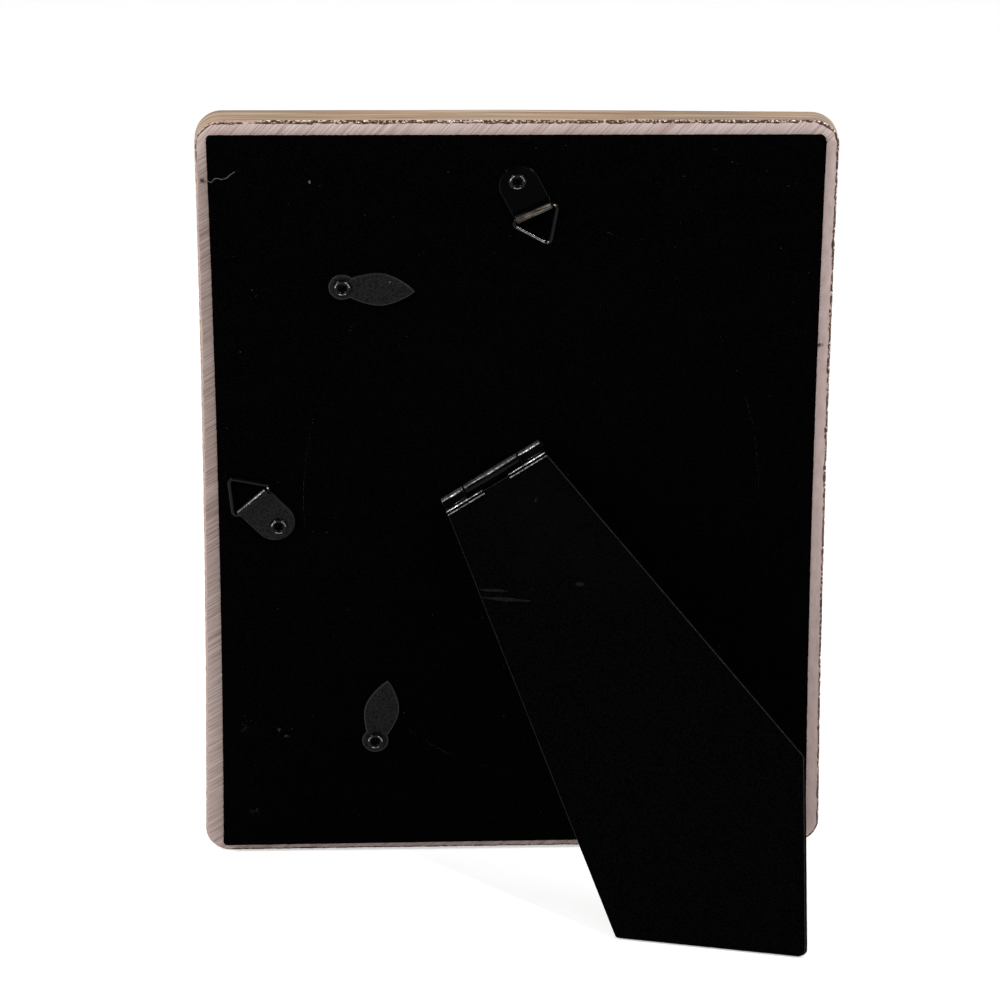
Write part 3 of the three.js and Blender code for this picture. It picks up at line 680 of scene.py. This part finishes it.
blackened = new_finish("blackened_steel", Specular_IOR_Level=0.06)
mottle = grain(blackened, 0.7, detail=3, rough=0.6)
smear = grain(blackened, 5, detail=2)
dull = ramp(blackened, mottle, (0.36, 0.0004), (0.62, 0.0082, 0.0082, 0.0083))
greyer = mix(blackened, span(blackened, smear, 0.4, 0.75, 0, 0.3), dull, (0.0045, 0.0045, 0.0046))
colour(blackened, greyer)
wire(blackened, span(blackened, mottle, 0.3, 0.7, 0.62, 0.45), "Roughness")
relief(blackened, mottle, 0.03)

tumbled = grained(
    "tumbled_edge", (1.2, 0.4, 0.4), (0.35, 0.002), (0.68, 0.011), detail=4, rough=0.7, bumps=0.02,
    gloss=(0.3, 0.7, 0.42, 0.25), Specular_IOR_Level=0.18,
)
# Painted highlight: bright bare steel, put on the hardware only where its highlight lines and arcs fall.
highlight_steel = grained(
    "bare_steel_highlight", 0.9, (0.36, 0.03), (0.5, 0.16, 0.16, 0.165), (0.64, 0.42, 0.42, 0.43), detail=4,
    rough=0.65, bumps=0.02, gloss=(0.3, 0.7, 0.45, 0.25), Metallic=0.9,
)

for where, turn in (("upper", radians(85.6)), ("lower", radians(169))):
    add_piece(
        f"leaf_button_{where}", skin(button_rings), on_board(f"{where}_button", turn), f"{where}_turn_button",
        (blackened, tumbled), (f"turn_button_{where}",), sharp=50,
        zones=[int(ring in BEVEL_RINGS) for ring in range(len(button_rings)) for _ in leaf],
    )


# --- Hanger straps ---
# A 12.7 mm strip of steel with round ends, folded double round the base wire of a triangle ring. The top one
# is lacquered gloss black and rubbed bare along the fold. The side one is only blackened, and bright bare
# steel is painted along the crest of its fold as a painted highlight line.
STRAP_SHEET = 0.66
STRAP_HALF = 6.35
LOOP_HALF = 6.0
STRAP_END = -1.8
STRAP_FOLD = -11.5
FOLD_HEIGHT = 5.055
FOLD_RADIUS = 1.105
LOWER_LAYER = 3.95
UPPER_LAYER = 4.65
STRIP_SIDES = 16
STRAIGHT = (-3, -4.5, -6, -7.5, -8.5, -9.5, -9.95, -10.15, -10.35, -10.7)
UNDER_STRAIGHT = (-8.4, -6, -4.5, -3)
WRAP_STEP = 9
WRAP_END = 138


def capped(rings):
    """An open skin with a face over each end."""
    points, faces = skin(rings, closed=False)
    count = len(rings[0])
    return points, faces + [tuple(range(count)), tuple(range(len(points) - count, len(points)))]


def strip(path, thick, halves):
    """A strip of sheet along a path in the y-z plane, that wide to each side at each point."""
    laid = []
    for at, (point, half) in enumerate(zip(path, halves)):
        way = (path[min(at + 1, len(path) - 1)] - path[max(at - 1, 0)]).normalized()
        up = Vector((0, -way.z, way.y))
        edge = min(thick * 0.36, half * 0.8)
        ring = []
        for corner in range(4):
            side, lift = ((1, 1), (-1, 1), (-1, -1), (1, -1))[corner]
            for step in range(4):
                turn = (corner + step / 3) * pi / 2
                across = side * (half - edge) + edge * cos(turn)
                through = lift * (thick / 2 - edge) + edge * sin(turn)
                ring.append(point + Vector((across, 0, 0)) + up * through)
        laid.append(ring)
    return capped(laid)


def edge_zones(shape, crest=()):
    """1 for the rounded edges and ends of a strip, 2 for the crest of its fold where a painted highlight goes,
    0 for its other faces.
    """
    zones = [0 if len(face) == 4 and index % 4 == 3 else 1 for index, face in enumerate(shape[1])]
    for index in range(len(zones) - 2):
        if zones[index] == 0 and index // STRIP_SIDES in crest:
            zones[index] = 2
    return zones


def strap_half(z):
    """How far the strap reaches to each side at a height: round end, straight sides, narrower fold."""
    if z > STRAP_END:
        return sqrt(max(STRAP_HALF ** 2 - (z - STRAP_END) ** 2, 0.25))
    narrowed = min(max((-9.95 - z) / 0.35, 0), 1)
    return STRAP_HALF + (LOOP_HALF - STRAP_HALF) * narrowed


round_end = [STRAP_END + STRAP_HALF * cos(radians(turn)) for turn in range(5, 91, 5)]
wrap = []
for swing in range(-90, WRAP_END, WRAP_STEP):
    turn = radians(swing)
    wrap.append(off(FOLD_HEIGHT + FOLD_RADIUS * sin(turn), STRAP_FOLD - FOLD_RADIUS * cos(turn)))
leaving = (wrap[-1] - wrap[-2]).normalized()
comes_down = curve((wrap[-1], wrap[-1] + leaving * 1.1, off(UPPER_LAYER, -9.4), off(UPPER_LAYER, -8.4)), 8)[1:]
strap_path = [off(LOWER_LAYER, z) for z in (*round_end, *STRAIGHT)]
strap_path += wrap + comes_down
strap_path += [off(UPPER_LAYER, z) for z in (*UNDER_STRAIGHT, *round_end[::-1])]
strap_halves = [LOOP_HALF if point in wrap else strap_half(point.z) for point in strap_path]
wrap_from = len(round_end) + len(STRAIGHT)
# The side strap's fold crest takes bright bare steel here: a painted highlight line.
fold_crest = range(wrap_from + 12, wrap_from + 15)

lacquer = new_finish("black_lacquer", Specular_IOR_Level=0.1)
orange_peel = grain(lacquer, 1.6, detail=2)
dust = grain(lacquer, 3, detail=4)
colour(lacquer, ramp(lacquer, dust, (0.35, 0.0008, 0.0008, 0.0009), (0.8, 0.0022, 0.0022, 0.0024)))
wire(lacquer, span(lacquer, dust, 0.35, 0.7, 0.07, 0.13), "Roughness")
relief(lacquer, orange_peel, 0.002)

rubbed = new_finish("rubbed_lacquer", Specular_IOR_Level=0.012)
drawn = grain(rubbed, (7, 0.25, 0.35), detail=4, rough=0.6)
patches = grain(rubbed, (2.2, 0.8, 0.5), detail=3)
at_fold = times(rubbed, along(rubbed, "Z", -0.0127, -0.0122), along(rubbed, "Z", -0.0103, -0.0108))
crest = times(rubbed, at_fold, along(rubbed, "Y", 0.0054, 0.0057))
wear = times(rubbed, crest, span(rubbed, patches, 0.30, 0.5))
steel = ramp(
    rubbed, drawn, (0.36, 0.012, 0.008, 0.006), (0.46, 0.045, 0.036, 0.028), (0.55, 0.11, 0.095, 0.08),
    (0.66, 0.24, 0.215, 0.19),
)
colour(rubbed, mix(rubbed, wear, (0.0005, 0.0005, 0.0006), steel))
wire(rubbed, span(rubbed, wear, 0, 1, 0.12, 0.5), "Roughness")
relief(rubbed, drawn, 0.02)

strap = strip(strap_path, STRAP_SHEET, strap_halves)
straps = {
    "top": (radians(26.2), "lacquer", (rubbed, lacquer)),
    "side": (radians(222.5), "dark_steel", (blackened, tumbled, highlight_steel)),
}
strap_places = {}
for where, (turn, slot, coats) in straps.items():
    strap_places[where] = on_board(f"{where}_hanger", turn)
    add_piece(
        f"folded_strap_{where}", strap, strap_places[where], f"{where}_hanger", coats,
        (f"hanger_strap_{where}",), sharp=60, bores=((BORE, 0, 0),),
        zones=edge_zones(strap, fold_crest if where == "side" else ()),
    )


# --- Triangle rings ---
# Bent from 1.25 mm wire, 17 mm along the base, and lacquered. Bright bare steel is painted along stretches of
# the wire where highlight lines fall: a painted highlight. The base lies in the strap's fold. The top ring
# hangs plumb, so it stands a little off the leaning board, and the side ring lies against the board.
WIRE = 0.625
RING_BASE = 16.9
RING_REACH = 11.245
RING_BEND = 1.3
WIRE_SIDES = 14
WIRE_CREST = (3, 4)
# Painted highlight: rows of the ring's path that carry a bright line.
HIGHLIGHT_ROWS = {"top": (3, 4, 5, 15, 16, 17, 21), "side": (26, 27)}


def corner_arc(corners, at, radius, inset, steps):
    """The arc that rounds one corner of a flat path, the whole path being moved inward."""
    corner = corners[at]
    back = (corners[at - 1] - corner).normalized()
    ahead = (corners[(at + 1) % len(corners)] - corner).normalized()
    half = back.angle(ahead) / 2
    inward = (back + ahead).normalized()
    inner = corner + inward * inset / sin(half)
    centre = inner + inward * radius / sin(half)
    start = (inner + back * radius / tan(half) - centre).normalized()
    end = (inner + ahead * radius / tan(half) - centre).normalized()
    return [centre + start.slerp(end, step / steps) * radius for step in range(steps + 1)]


def tube(path, radius):
    """A closed round wire along a flat closed path."""
    turns = [2 * pi * side / WIRE_SIDES for side in range(WIRE_SIDES)]
    laid = []
    for at, point in enumerate(path):
        way = (path[(at + 1) % len(path)] - path[at - 1]).normalized()
        outward = flat(way.z, -way.x)
        laid.append([point + (outward * cos(t) + off(sin(t))) * radius for t in turns])
    return skin(laid)


def wire_highlights(shape, rows):
    """1 along the crest of the wire where a highlight line is painted in bright bare steel, 0 elsewhere."""
    places = (divmod(index, WIRE_SIDES) for index in range(len(shape[1])))
    return [int(row in rows and side in WIRE_CREST) for row, side in places]


apexes = [flat(-RING_BASE / 2, 0), flat(0, -RING_REACH), flat(RING_BASE / 2, 0)]
triangle = [point for at in range(3) for point in corner_arc(apexes, at, RING_BEND, 0, 10)]
for where, tilt in (("top", radians(13.33)), ("side", radians(-4.23))):
    place = strap_places[where] @ Matrix.Translation(off(FOLD_HEIGHT, STRAP_FOLD) * MM)
    bent = tube(triangle, WIRE)
    add_piece(
        f"triangle_ring_{where}", bent, place @ Matrix.Rotation(tilt, 4, "X"), f"{where}_ring",
        (lacquer, highlight_steel), (f"hanger_ring_{where}",), sharp=80, zones=wire_highlights(bent, HIGHLIGHT_ROWS[where]),
    )


# --- Eyelets ---
# Tube rivets with a rolled collar, 5.6 mm across, lacquered. Each one holds a button or a strap and is
# clinched in the back of the board. Three arcs of bright bare steel are painted on the roll as painted
# highlights.
COLLAR = 2.8
BARREL = 1.75
TUBE_BORE = 1.35
CLINCH = (2.6, 0.6, 1.1)
COLLAR_THICK = 0.74
STRAP_GRIP = 1.4
COLLAR_SIDES = 60
ROLL_STEPS = 15
CREST_STEPS = (5, 6)
# Painted highlight: the angles round the eyelet at which the bright arcs are painted, and their half width.
HIGHLIGHT_ARCS = (35, 145, 270)
ARC_HALF = 30


def collar(grip):
    """A tube rivet turned from its section, which goes from the clinch up the barrel and over the roll."""
    low = HARDWARE + grip + 0.06
    lip = low + 0.12
    section = [(TUBE_BORE, CLINCH[1]), (CLINCH[0], CLINCH[1]), (CLINCH[0], CLINCH[2]), (BARREL, CLINCH[2])]
    section += [(BARREL, low), (COLLAR - 0.12, low)]
    middle_of_roll, roll = (COLLAR + TUBE_BORE) / 2, (COLLAR - TUBE_BORE) / 2
    for step in range(1, ROLL_STEPS + 1):
        turn = radians(4 + 168 * step / ROLL_STEPS)
        height = lip + (low + COLLAR_THICK - lip) * sin(turn)
        section.append((middle_of_roll + roll * cos(turn), height))
    section.append((TUBE_BORE, low - 0.3))
    turns = [2 * pi * step / COLLAR_SIDES for step in range(COLLAR_SIDES)]
    return skin([[flat(cos(t), sin(t)) * reach + off(y) for t in turns] for reach, y in section])


def painted_arcs(shape):
    """1 where an arc of painted highlight in bright bare steel lies on the crest of the roll, 0 elsewhere."""
    marks = []
    for index in range(len(shape[1])):
        ring, step = divmod(index, COLLAR_SIDES)
        near = min(abs((step + 0.5) * 360 / COLLAR_SIDES - arc_at) for arc_at in HIGHLIGHT_ARCS)
        marks.append(int(ring - 6 in CREST_STEPS and near < ARC_HALF))
    return marks


for name in EYELETS:
    where, kind = name.split("_")
    rivet = collar(SHEET if kind == "button" else STRAP_GRIP)
    add_piece(
        f"rolled_eyelet_{name}", rivet, on_board(name), "frame", (lacquer, highlight_steel),
        (f"{kind}_eyelet_{where}",), sharp=50, zones=painted_arcs(rivet),
    )


# --- The hinge ---
# Two leaves of 0.8 mm sheet rolled round a wire pin, lacquered after assembly. Bright bare steel is
# painted along the tops of the knuckles and the bends of the lips as painted highlight lines.
# The fixed leaf is pronged into the door under the leg. The moving leaf's outer knuckles carry arms that are
# crimped over the leg's head.
HINGE_AT = Vector((7.2, 5.55, 140.3))
HINGE_SLANT = radians(34)
LEG_OPEN = radians(32.4)
ROLL = 1.55
HINGE_HALF = 18.5
MIDDLE_HALF = 10.0
KNUCKLE_GAP = 0.3
LEAF_LENGTH = 12.0
LEAF_HALF = 17.2
CRIMP_FROM = 4.8
LIP = 2.42
LIP_SHEET = 0.5
ARM_SHEET = 0.66
LEAF_SHEET = 0.76
CURL_STEPS = 22
PRONGS = (-5.5, 5.5)
# Painted highlight: the turn round the pin and the heights of the lip lines where bright lines are painted.
TOP_OF_KNUCKLE = (50, 108)
LIP_LINE = (-4.4, -3.95)
BEND_LINE = (-3.15, -2.75)
at_hinge = on_back @ Matrix.Translation(HINGE_AT * MM) @ Matrix.Rotation(HINGE_SLANT, 4, "Y")
at_leg = at_hinge @ Matrix.Rotation(LEG_OPEN, 4, "X")


def shifted(shape, across):
    points, faces = shape
    return [point + flat(across, 0) for point in points], faces


def together(*shapes):
    """Several closed shapes as one mesh."""
    points, faces = [], []
    for more, sides in shapes:
        faces += [tuple(len(points) + at for at in face) for face in sides]
        points += more
    return points, faces


def sheet_piece(path, start, end, thick=LEAF_SHEET):
    return shifted(strip(path, thick, [(end - start) / 2] * len(path)), (start + end) / 2)


def prong(across, high, low):
    path = [off(y, -LEAF_LENGTH + 1.4) for y in (high, (high + low) / 2, low)]
    return shifted(strip(path, SHEET, (1.5, 1.4, 1.0)), across)


def rolled(first, last):
    """The curl of a knuckle, as the angle goes round the pin from under it."""
    turns = [radians(first + (last - first) * step / CURL_STEPS) for step in range(CURL_STEPS + 1)]
    return [off(-ROLL * cos(turn), ROLL * sin(turn)) for turn in turns]


def knuckle_highlights(shape, first, last):
    """1 along the top of each knuckle and along the bends of the lips, where highlight lines are painted in
    bright steel.
    """
    points, faces = shape
    marks = []
    for face in faces:
        centre = sum((points[at] for at in face), Vector()) / len(face)
        turn = degrees(atan2(centre.z, centre.y))
        on_top = hypot(centre.y, centre.z) > ROLL + 0.25 and first < turn < last
        on_lip = centre.y > LIP and LIP_LINE[0] < centre.z < LIP_LINE[1]
        on_bend = centre.y > ROLL + 0.3 and BEND_LINE[0] < centre.z < BEND_LINE[1]
        marks.append(int(on_top or on_lip or on_bend))
    return marks


hinge_lacquer = grained(
    "hinge_lacquer", (3, 1.2, 1.2), (0.35, 0.0005, 0.0005, 0.0006), (0.8, 0.0016, 0.0016, 0.0018),
    bumps=0.003, gloss=(0.35, 0.7, 0.07, 0.13), Specular_IOR_Level=0.06,
)
fixed_path = [off(-ROLL, -LEAF_LENGTH), off(-ROLL, -8), off(-ROLL, -4), off(-ROLL, -1)] + rolled(0, 318)
fixed_leaf = together(
    sheet_piece(fixed_path, -MIDDLE_HALF, MIDDLE_HALF), *(prong(side, -ROLL, -4.8) for side in PRONGS)
)
add_piece(
    "rolled_fixed_leaf", fixed_leaf, at_hinge, "frame", (hinge_lacquer, highlight_steel),
    ("hinge_fixed_leaf",), sharp=60, zones=knuckle_highlights(fixed_leaf, *TOP_OF_KNUCKLE),
)
lip_end = [off(LIP - 0.08, -4.3), off(LIP, -4.0), off(LIP, -3.55)]
arm_path = lip_end + curve((off(LIP, -3.3), off(LIP, -2.7), off(ROLL, -2.9), off(ROLL, -2.0)), 8)
arm_path += [off(ROLL, -2.0), off(ROLL, -1.0)] + rolled(180, -132)
hook_path = lip_end + curve((off(LIP, -3.4), off(LIP, -2.95), off(LIP - 0.4, -2.95)), 6) + [off(1.0, -2.95)]
moving_shapes = [sheet_piece([off(1.1, -LEAF_LENGTH), off(1.1, -8), off(1.1, -3.1)], -LEAF_HALF, LEAF_HALF)]
moving_shapes += [prong(side, 1.1, -0.1) for side in PRONGS]
for side in (-1, 1):
    arm = sorted((side * (MIDDLE_HALF + KNUCKLE_GAP), side * HINGE_HALF))
    hook = sorted((side * CRIMP_FROM, side * (MIDDLE_HALF + 0.8)))
    moving_shapes += [sheet_piece(arm_path, *arm, ARM_SHEET), sheet_piece(hook_path, *hook, LIP_SHEET)]
moving_leaf = together(*moving_shapes)
swung = degrees(LEG_OPEN)
add_piece(
    "rolled_moving_leaf", moving_leaf, at_leg, "leg", (hinge_lacquer, highlight_steel),
    ("hinge_moving_leaf",), sharp=60, zones=knuckle_highlights(moving_leaf, *(at - swung for at in TOP_OF_KNUCKLE)),
)
coat("hinge_pin", blackened)


# --- Velour of the leg ---
# The leg is a long flap of the same board under the same velour, cut slanting at the foot so that it stands
# flat on the table. The nap is rubbed down along its edges, where the light catches it, and it has scuffs.
# Near the hinge a faint bluish painted sheen lies on it in patches.
LEG_BOTTOM = -0.5
LEG_TOP = 2.1
LEG_CORNERS = ((18.5, -3.25), (-18.5, -3.25), (-42.811, -125.374), (-12.240, -178.922), (37.626, -144.661))
LEG_RADII = (0.8, 0.8, 1.2, 2.3, 1.2)
EDGE_POINTS = 40
MIDDLE_OF_LEG = (-6, -80)
RUBBED_RINGS = (3, 4, 5)


def leg_ring(inset, y):
    corners = [flat(*corner) for corner in LEG_CORNERS]
    arcs = [corner_arc(corners, at, max(radius - inset, 0.2), inset, 8) for at, radius in enumerate(LEG_RADII)]
    laid = []
    for at, arc in enumerate(arcs):
        far = arcs[(at + 1) % len(arcs)][0]
        laid += arc + [arc[-1].lerp(far, step / EDGE_POINTS) for step in range(1, EDGE_POINTS)]
    return [wavering(point, 0.06, 0.7, 0.6) + off(y) for point in laid]


def stood(shape, place):
    """A shape whose points are moved to where they stand."""
    points, faces = shape
    return [place @ (point * MM) / MM for point in points], faces


leg_velour = new_finish("leg_velour", Roughness=1.0, Specular_IOR_Level=0.0)
leg_nap = grain(leg_velour, 0.45, detail=2, rough=0.6)
leg_cloud = grain(leg_velour, 16, detail=4)
# Painted sheen: near the hinge the nap is coloured a little lighter and bluer in patches.
near_head = along(leg_velour, "Z", 0.090, 0.128, 0, 0.6)
deep = ramp(leg_velour, leg_nap, (0.38, 0.0002), (0.64, 0.0020, 0.0020, 0.0021))
painted_sheen = times(leg_velour, near_head, span(leg_velour, leg_cloud, 0.38, 0.66, 0.25, 1))
colour(leg_velour, mix(leg_velour, painted_sheen, deep, (0.0020, 0.0020, 0.0023)))
relief(leg_velour, leg_nap, 0.25)

rubbed_edge = grained(
    "rubbed_velour_edge", 0.8, (0.3, 0.004), (0.5, 0.013, 0.012, 0.0115), (0.72, 0.034, 0.031, 0.029), detail=5,
    rough=0.7, bumps=0.2, Roughness=0.95, Specular_IOR_Level=0.1,
)
leg_rings = fold_over(leg_ring, 0, LEG_TOP, LEG_BOTTOM, VELOUR)
inner_wall = [leg_ring(VELOUR, LEG_TOP - VELOUR)]
shape = lid(inner_wall + leg_rings + [leg_ring(2.5, LEG_TOP)], flat(*MIDDLE_OF_LEG), LEG_TOP, LEG_TOP - VELOUR)
add_piece(
    "leg_velour_sheet", stood(shape, at_leg), Matrix(), "leg", (leg_velour, rubbed_edge),
    ("leg_velour",), sharp=80,
    zones=[int(index // len(leg_rings[0]) in RUBBED_RINGS) for index in range(len(shape[1]))],
)


# --- Lint, frayed edges and scuffs ---
# Velour paper frays wherever it is cut, and it holds on to lint: a hair near one corner, tufts at the edge and
# pale flecks. The leg is scuffed below the hinge, where fingers open it.
HAIR = (
    (94.9, 240.2), (94.0, 240.5), (92.9, 240.0), (91.9, 241.3), (90.9, 241.4), (89.8, 241.0), (88.3, 241.4),
    (87.0, 242.6), (85.6, 243.6),
)
TUFTS = ((-3.1, 253.4, 3.0), (-93.9, 183.2, 2.2), (95.6, 240.5, 1.2))
FLECKS = (
    (84.7, 243.8), (62.9, 240.3), (59.9, 238.6), (-5.8, 250.6), (-50.9, 240.9), (-14.9, 251.5), (-60.5, 249.5),
    (35.5, 53.0), (71.5, 47.5), (85.0, 58.7), (20.9, 242.9), (81.2, 203.7), (85.3, 182.5), (-60.2, 249.8),
    (-65.5, 245.5), (-83.0, 237.3), (-76.2, 242.4), (-81.2, 216.4), (-90.0, 207.9),
)
BRIGHT_FLECK = (63.0, 240.1)
SMUDGE = (86.2, 47.3)
STREAK = ((75.6, 47.2), (73.4, 44.9))
PALE_TUFT = (83.9, 17.4)
BUTTON_DOT = (38.8, 206.5)
LEG_FLECKS = ((9.6, -10.7), (-8.9, -5.5), (17.8, -13.4), (-2.5, -126.5), (3.3, -127.9), (-3.3, -132.3))
LEG_SCUFFS = (
    ((21.2, -29.5), (13.6, -34.3), 0.5),
    ((22.0, -31.9), (8.9, -40.6), 0.6),
    ((-6.6, -43.4), (-8.8, -44.7), 0.7),
    ((-9.2, -13.7), (-8.0, -14.9), 0.45),
)
HAIR_HALF = 0.13
SCUFF_STEPS = 10
FIBRES_PER_STEP = 2
TUFT_FIBRES = 70
BRIGHT_GRAINS = 6
LOOSE_GRAINS = 150
SMUDGE_FIBRES = 30
chance = random.Random(11)


def fibre(root, tip, thick):
    """A hair-fine three-sided spike."""
    across = (tip - root).cross(Vector((0.3, 0.8, 0.5))).normalized() * thick
    through = (tip - root).cross(across).normalized() * thick
    feet = [root + across, root - across * 0.5 + through * 0.8, root - across * 0.5 - through * 0.8]
    return feet + [tip], [(0, 1, 2), (0, 3, 1), (1, 3, 2), (2, 3, 0)]


def speck(centre, size):
    """An uneven grain of lint."""
    spokes = [Vector(way) * size * chance.uniform(0.5, 1.2) for way in (
        (1, 0, 0), (-1, 0, 0), (0, 0.6, 0), (0, -0.6, 0), (0, 0, 1), (0, 0, -1)
    )]
    sides = [(0, 2, 4), (2, 1, 4), (1, 3, 4), (3, 0, 4), (2, 0, 5), (1, 2, 5), (3, 1, 5), (0, 3, 5)]
    return [centre + spoke for spoke in spokes], sides


def scuff(start, end, half, lift):
    """A thin raised streak where the nap is brushed up."""
    laid = []
    along_it = (end - start).normalized()
    across = flat(along_it.z, -along_it.x)
    for step in range(SCUFF_STEPS + 1):
        share = step / SCUFF_STEPS
        swell = half * (sin(pi * (0.04 + 0.92 * share)) ** 0.7) * chance.uniform(0.7, 1.1)
        centre = start.lerp(end, share) + off(lift)
        laid.append([centre - across * swell, centre + off(0.03), centre + across * swell])
    return capped(laid)


black_fluff = grained("black_fluff", 0.3, (0.3, 0.002), (0.7, 0.006), Roughness=1.0, Specular_IOR_Level=0.05)
frayed = []
cut_edge = board_ring(BOARD_INSET + 0.05, 0)
for at, point in enumerate(cut_edge):
    for _ in range(FIBRES_PER_STEP):
        root = point.lerp(cut_edge[(at + 1) % len(cut_edge)], chance.random())
        across, up = root.x / CASTING_WIDTH, (root.z - middle) / CASTING_HEIGHT
        outward = flat(across, 0) if abs(across) > abs(up) else flat(0, up)
        lean = Vector((chance.uniform(-0.9, 0.9), chance.uniform(-0.5, 0.5), chance.uniform(-0.9, 0.9)))
        way = (outward.normalized() + lean).normalized() * chance.uniform(0.25, 0.75)
        root += off(chance.uniform(0.8, 3.15))
        frayed.append(fibre(root, root + way, 0.055))
add_piece("frayed_velour_edge", together(*frayed), on_back, "frame", (black_fluff,), sharp=80)

tufts = []
for x, z, spread in TUFTS:
    for _ in range(TUFT_FIBRES):
        root = Vector((x + chance.gauss(0, spread / 3), VELOUR_TOP - 0.2, z + chance.gauss(0, 0.35)))
        way = Vector((chance.gauss(0, 0.6), chance.uniform(-0.3, 0.35), chance.gauss(0, 0.6)))
        tufts.append(fibre(root, root + way, 0.06))
hair_path = [Vector((x, VELOUR_TOP + 0.08, z)) for x, z in HAIR]
hair_laid = []
for at, point in enumerate(hair_path):
    way = (hair_path[min(at + 1, len(HAIR) - 1)] - hair_path[max(at - 1, 0)]).normalized()
    across = flat(way.z, -way.x) * HAIR_HALF
    hair_laid.append([point + across, point + off(0.12), point - across])
add_piece("black_lint", together(*tufts), on_back, "frame", (black_fluff,), sharp=80)

pale_lint = grained(
    "pale_lint", 0.3, (0.3, 0.02), (0.7, 0.13, 0.126, 0.12), Roughness=0.95, Specular_IOR_Level=0.1
)
lint = [capped(hair_laid)]
lint += [speck(Vector((x, VELOUR_TOP + 0.05, z)), chance.uniform(0.09, 0.19)) for x, z in FLECKS]
for _ in range(BRIGHT_GRAINS):
    shift = flat(chance.gauss(0, 0.08), chance.gauss(0, 0.14))
    lint.append(speck(Vector((BRIGHT_FLECK[0], VELOUR_TOP + 0.1, BRIGHT_FLECK[1])) + shift, 0.3))
for _ in range(LOOSE_GRAINS):
    root = Vector((chance.uniform(-90, 90), VELOUR_TOP + 0.02, chance.uniform(8, 252)))
    lint.append(speck(root, chance.uniform(0.05, 0.12)))
for (x, z), loose in ((PALE_TUFT, 1.0), (SMUDGE, 1.6), (STREAK[0], 0.3), (STREAK[1], 0.3)):
    for _ in range(SMUDGE_FIBRES):
        root = Vector((x + chance.gauss(0, 0.9) * loose, VELOUR_TOP, z + chance.gauss(0, 1.1) * loose))
        lint.append(fibre(root, root + Vector((chance.gauss(0, 0.4), 0.1, chance.gauss(0, 0.4))), 0.022))
add_piece("pale_lint_flecks", together(*lint), on_back, "frame", (pale_lint,), sharp=80)
dot = speck(Vector((BUTTON_DOT[0], HARDWARE + SHEET + 0.03, BUTTON_DOT[1])), 0.4)
add_piece("dot_on_leaf", dot, on_back, "upper_turn_button", (pale_lint,), sharp=80)

brushed_up = grained(
    "brushed_up_nap", (1.2, 1.2, 0.3), (0.35, 0.0022, 0.0022, 0.0027), (0.7, 0.0085, 0.0085, 0.0098), detail=4,
    Roughness=1.0, Specular_IOR_Level=0.05,
)
scuffs = [scuff(flat(*start), flat(*end), half, LEG_TOP) for start, end, half in LEG_SCUFFS]
scuffs += [speck(Vector((x, LEG_TOP + 0.04, z)), chance.uniform(0.14, 0.24)) for x, z in LEG_FLECKS]
add_piece("leg_scuffs", stood(together(*scuffs), at_leg), Matrix(), "leg", (brushed_up,), sharp=80)


# --- The table, the light and the camera ---
# A plain pale table and a white backdrop. A softbox on each side and three small lamps light the back of the
# frame, and the camera looks down on it from behind, a little to the left.
TABLE = 4.0
OTHER_LIGHT = 0.5
table_mesh = bpy.data.meshes.new("pale_table")
table_corners = [(-TABLE, -TABLE, 0), (TABLE, -TABLE, 0), (TABLE, TABLE, 0), (-TABLE, TABLE, 0)]
table_mesh.from_pydata(table_corners, [], [(0, 1, 2, 3)])
table = placed("pale_table", table_mesh)
pale = grained(
    "pale_table", 30, (0.3, 0.88), (0.7, 0.9), Roughness=0.9, Specular_IOR_Level=0.1,
    Emission_Color=(0.48, 0.48, 0.48, 1),
)
rays = new_node(pale, "LightPath").outputs
wire(pale, joined(pale, "MAXIMUM", rays["Is Camera Ray"], rays["Is Glossy Ray"]), "Emission Strength")
table_mesh.materials.append(pale)

world = bpy.data.worlds.new("studio")
bpy.context.scene.world = world
world.use_nodes = True
rays = new_node(world, "LightPath").outputs
room = along(world, "Y", 0.35, -0.15, 0.12, 1.0, "LINEAR", source="Generated")
mirrored = span(world, rays["Is Glossy Ray"], 0.0, 1.0, OTHER_LIGHT, room, "LINEAR")
straight = joined(world, "MAXIMUM", rays["Is Camera Ray"], rays["Is Transmission Ray"])
backdrop = world.node_tree.nodes["Background"]
backdrop.inputs["Color"].default_value = (1, 1, 1, 1)
feed(world, backdrop.inputs["Strength"], joined(world, "MAXIMUM", straight, mirrored))

MIDDLE_OF_FRAME = Vector((0, 0, 0.13))
for name, position, wide, watts in (
    ("left_softbox", (0.80, 0.66, 0.78), 0.35, 4.3),
    ("right_softbox", (-0.84, 0.60, 0.742), 0.35, 5.3),
    ("left_spot", (0.849, 0.589, 0.745), 0.05, 3.6),
    ("low_left_spot", (1.06, 0.552, 0.50), 0.035, 1.2),
    ("upper_right_spot", (-0.42, 0.68, 1.12), 0.035, 2.2),
):
    lamp = bpy.data.lights.new(name, "AREA")
    lamp.size = wide
    lamp.energy = watts
    stand = placed(name, lamp)
    stand.location = position
    stand.rotation_euler = (MIDDLE_OF_FRAME - Vector(position)).to_track_quat("-Z", "Y").to_euler()

CAMERA_AT = (0.04194, 1.58723, 0.58292)
YAW, PITCH, CAMERA_ROLL = radians(1.325), radians(15.903), radians(0.179)
forward = Vector((-sin(YAW) * cos(PITCH), -cos(YAW) * cos(PITCH), -sin(PITCH)))
level_right = Vector((-cos(YAW), sin(YAW), 0))
level_down = forward.cross(level_right)
right = level_right * cos(CAMERA_ROLL) + level_down * sin(CAMERA_ROLL)
upward = right.cross(forward)
lens = bpy.data.cameras.new("camera")
lens.lens = 191.13
lens.sensor_width = 36
camera = placed("camera", lens)
camera.matrix_world = Matrix.Translation(CAMERA_AT) @ Matrix((right, upward, -forward)).transposed().to_4x4()
bpy.context.scene.camera = camera
bpy.context.scene.view_settings.view_transform = "Standard"
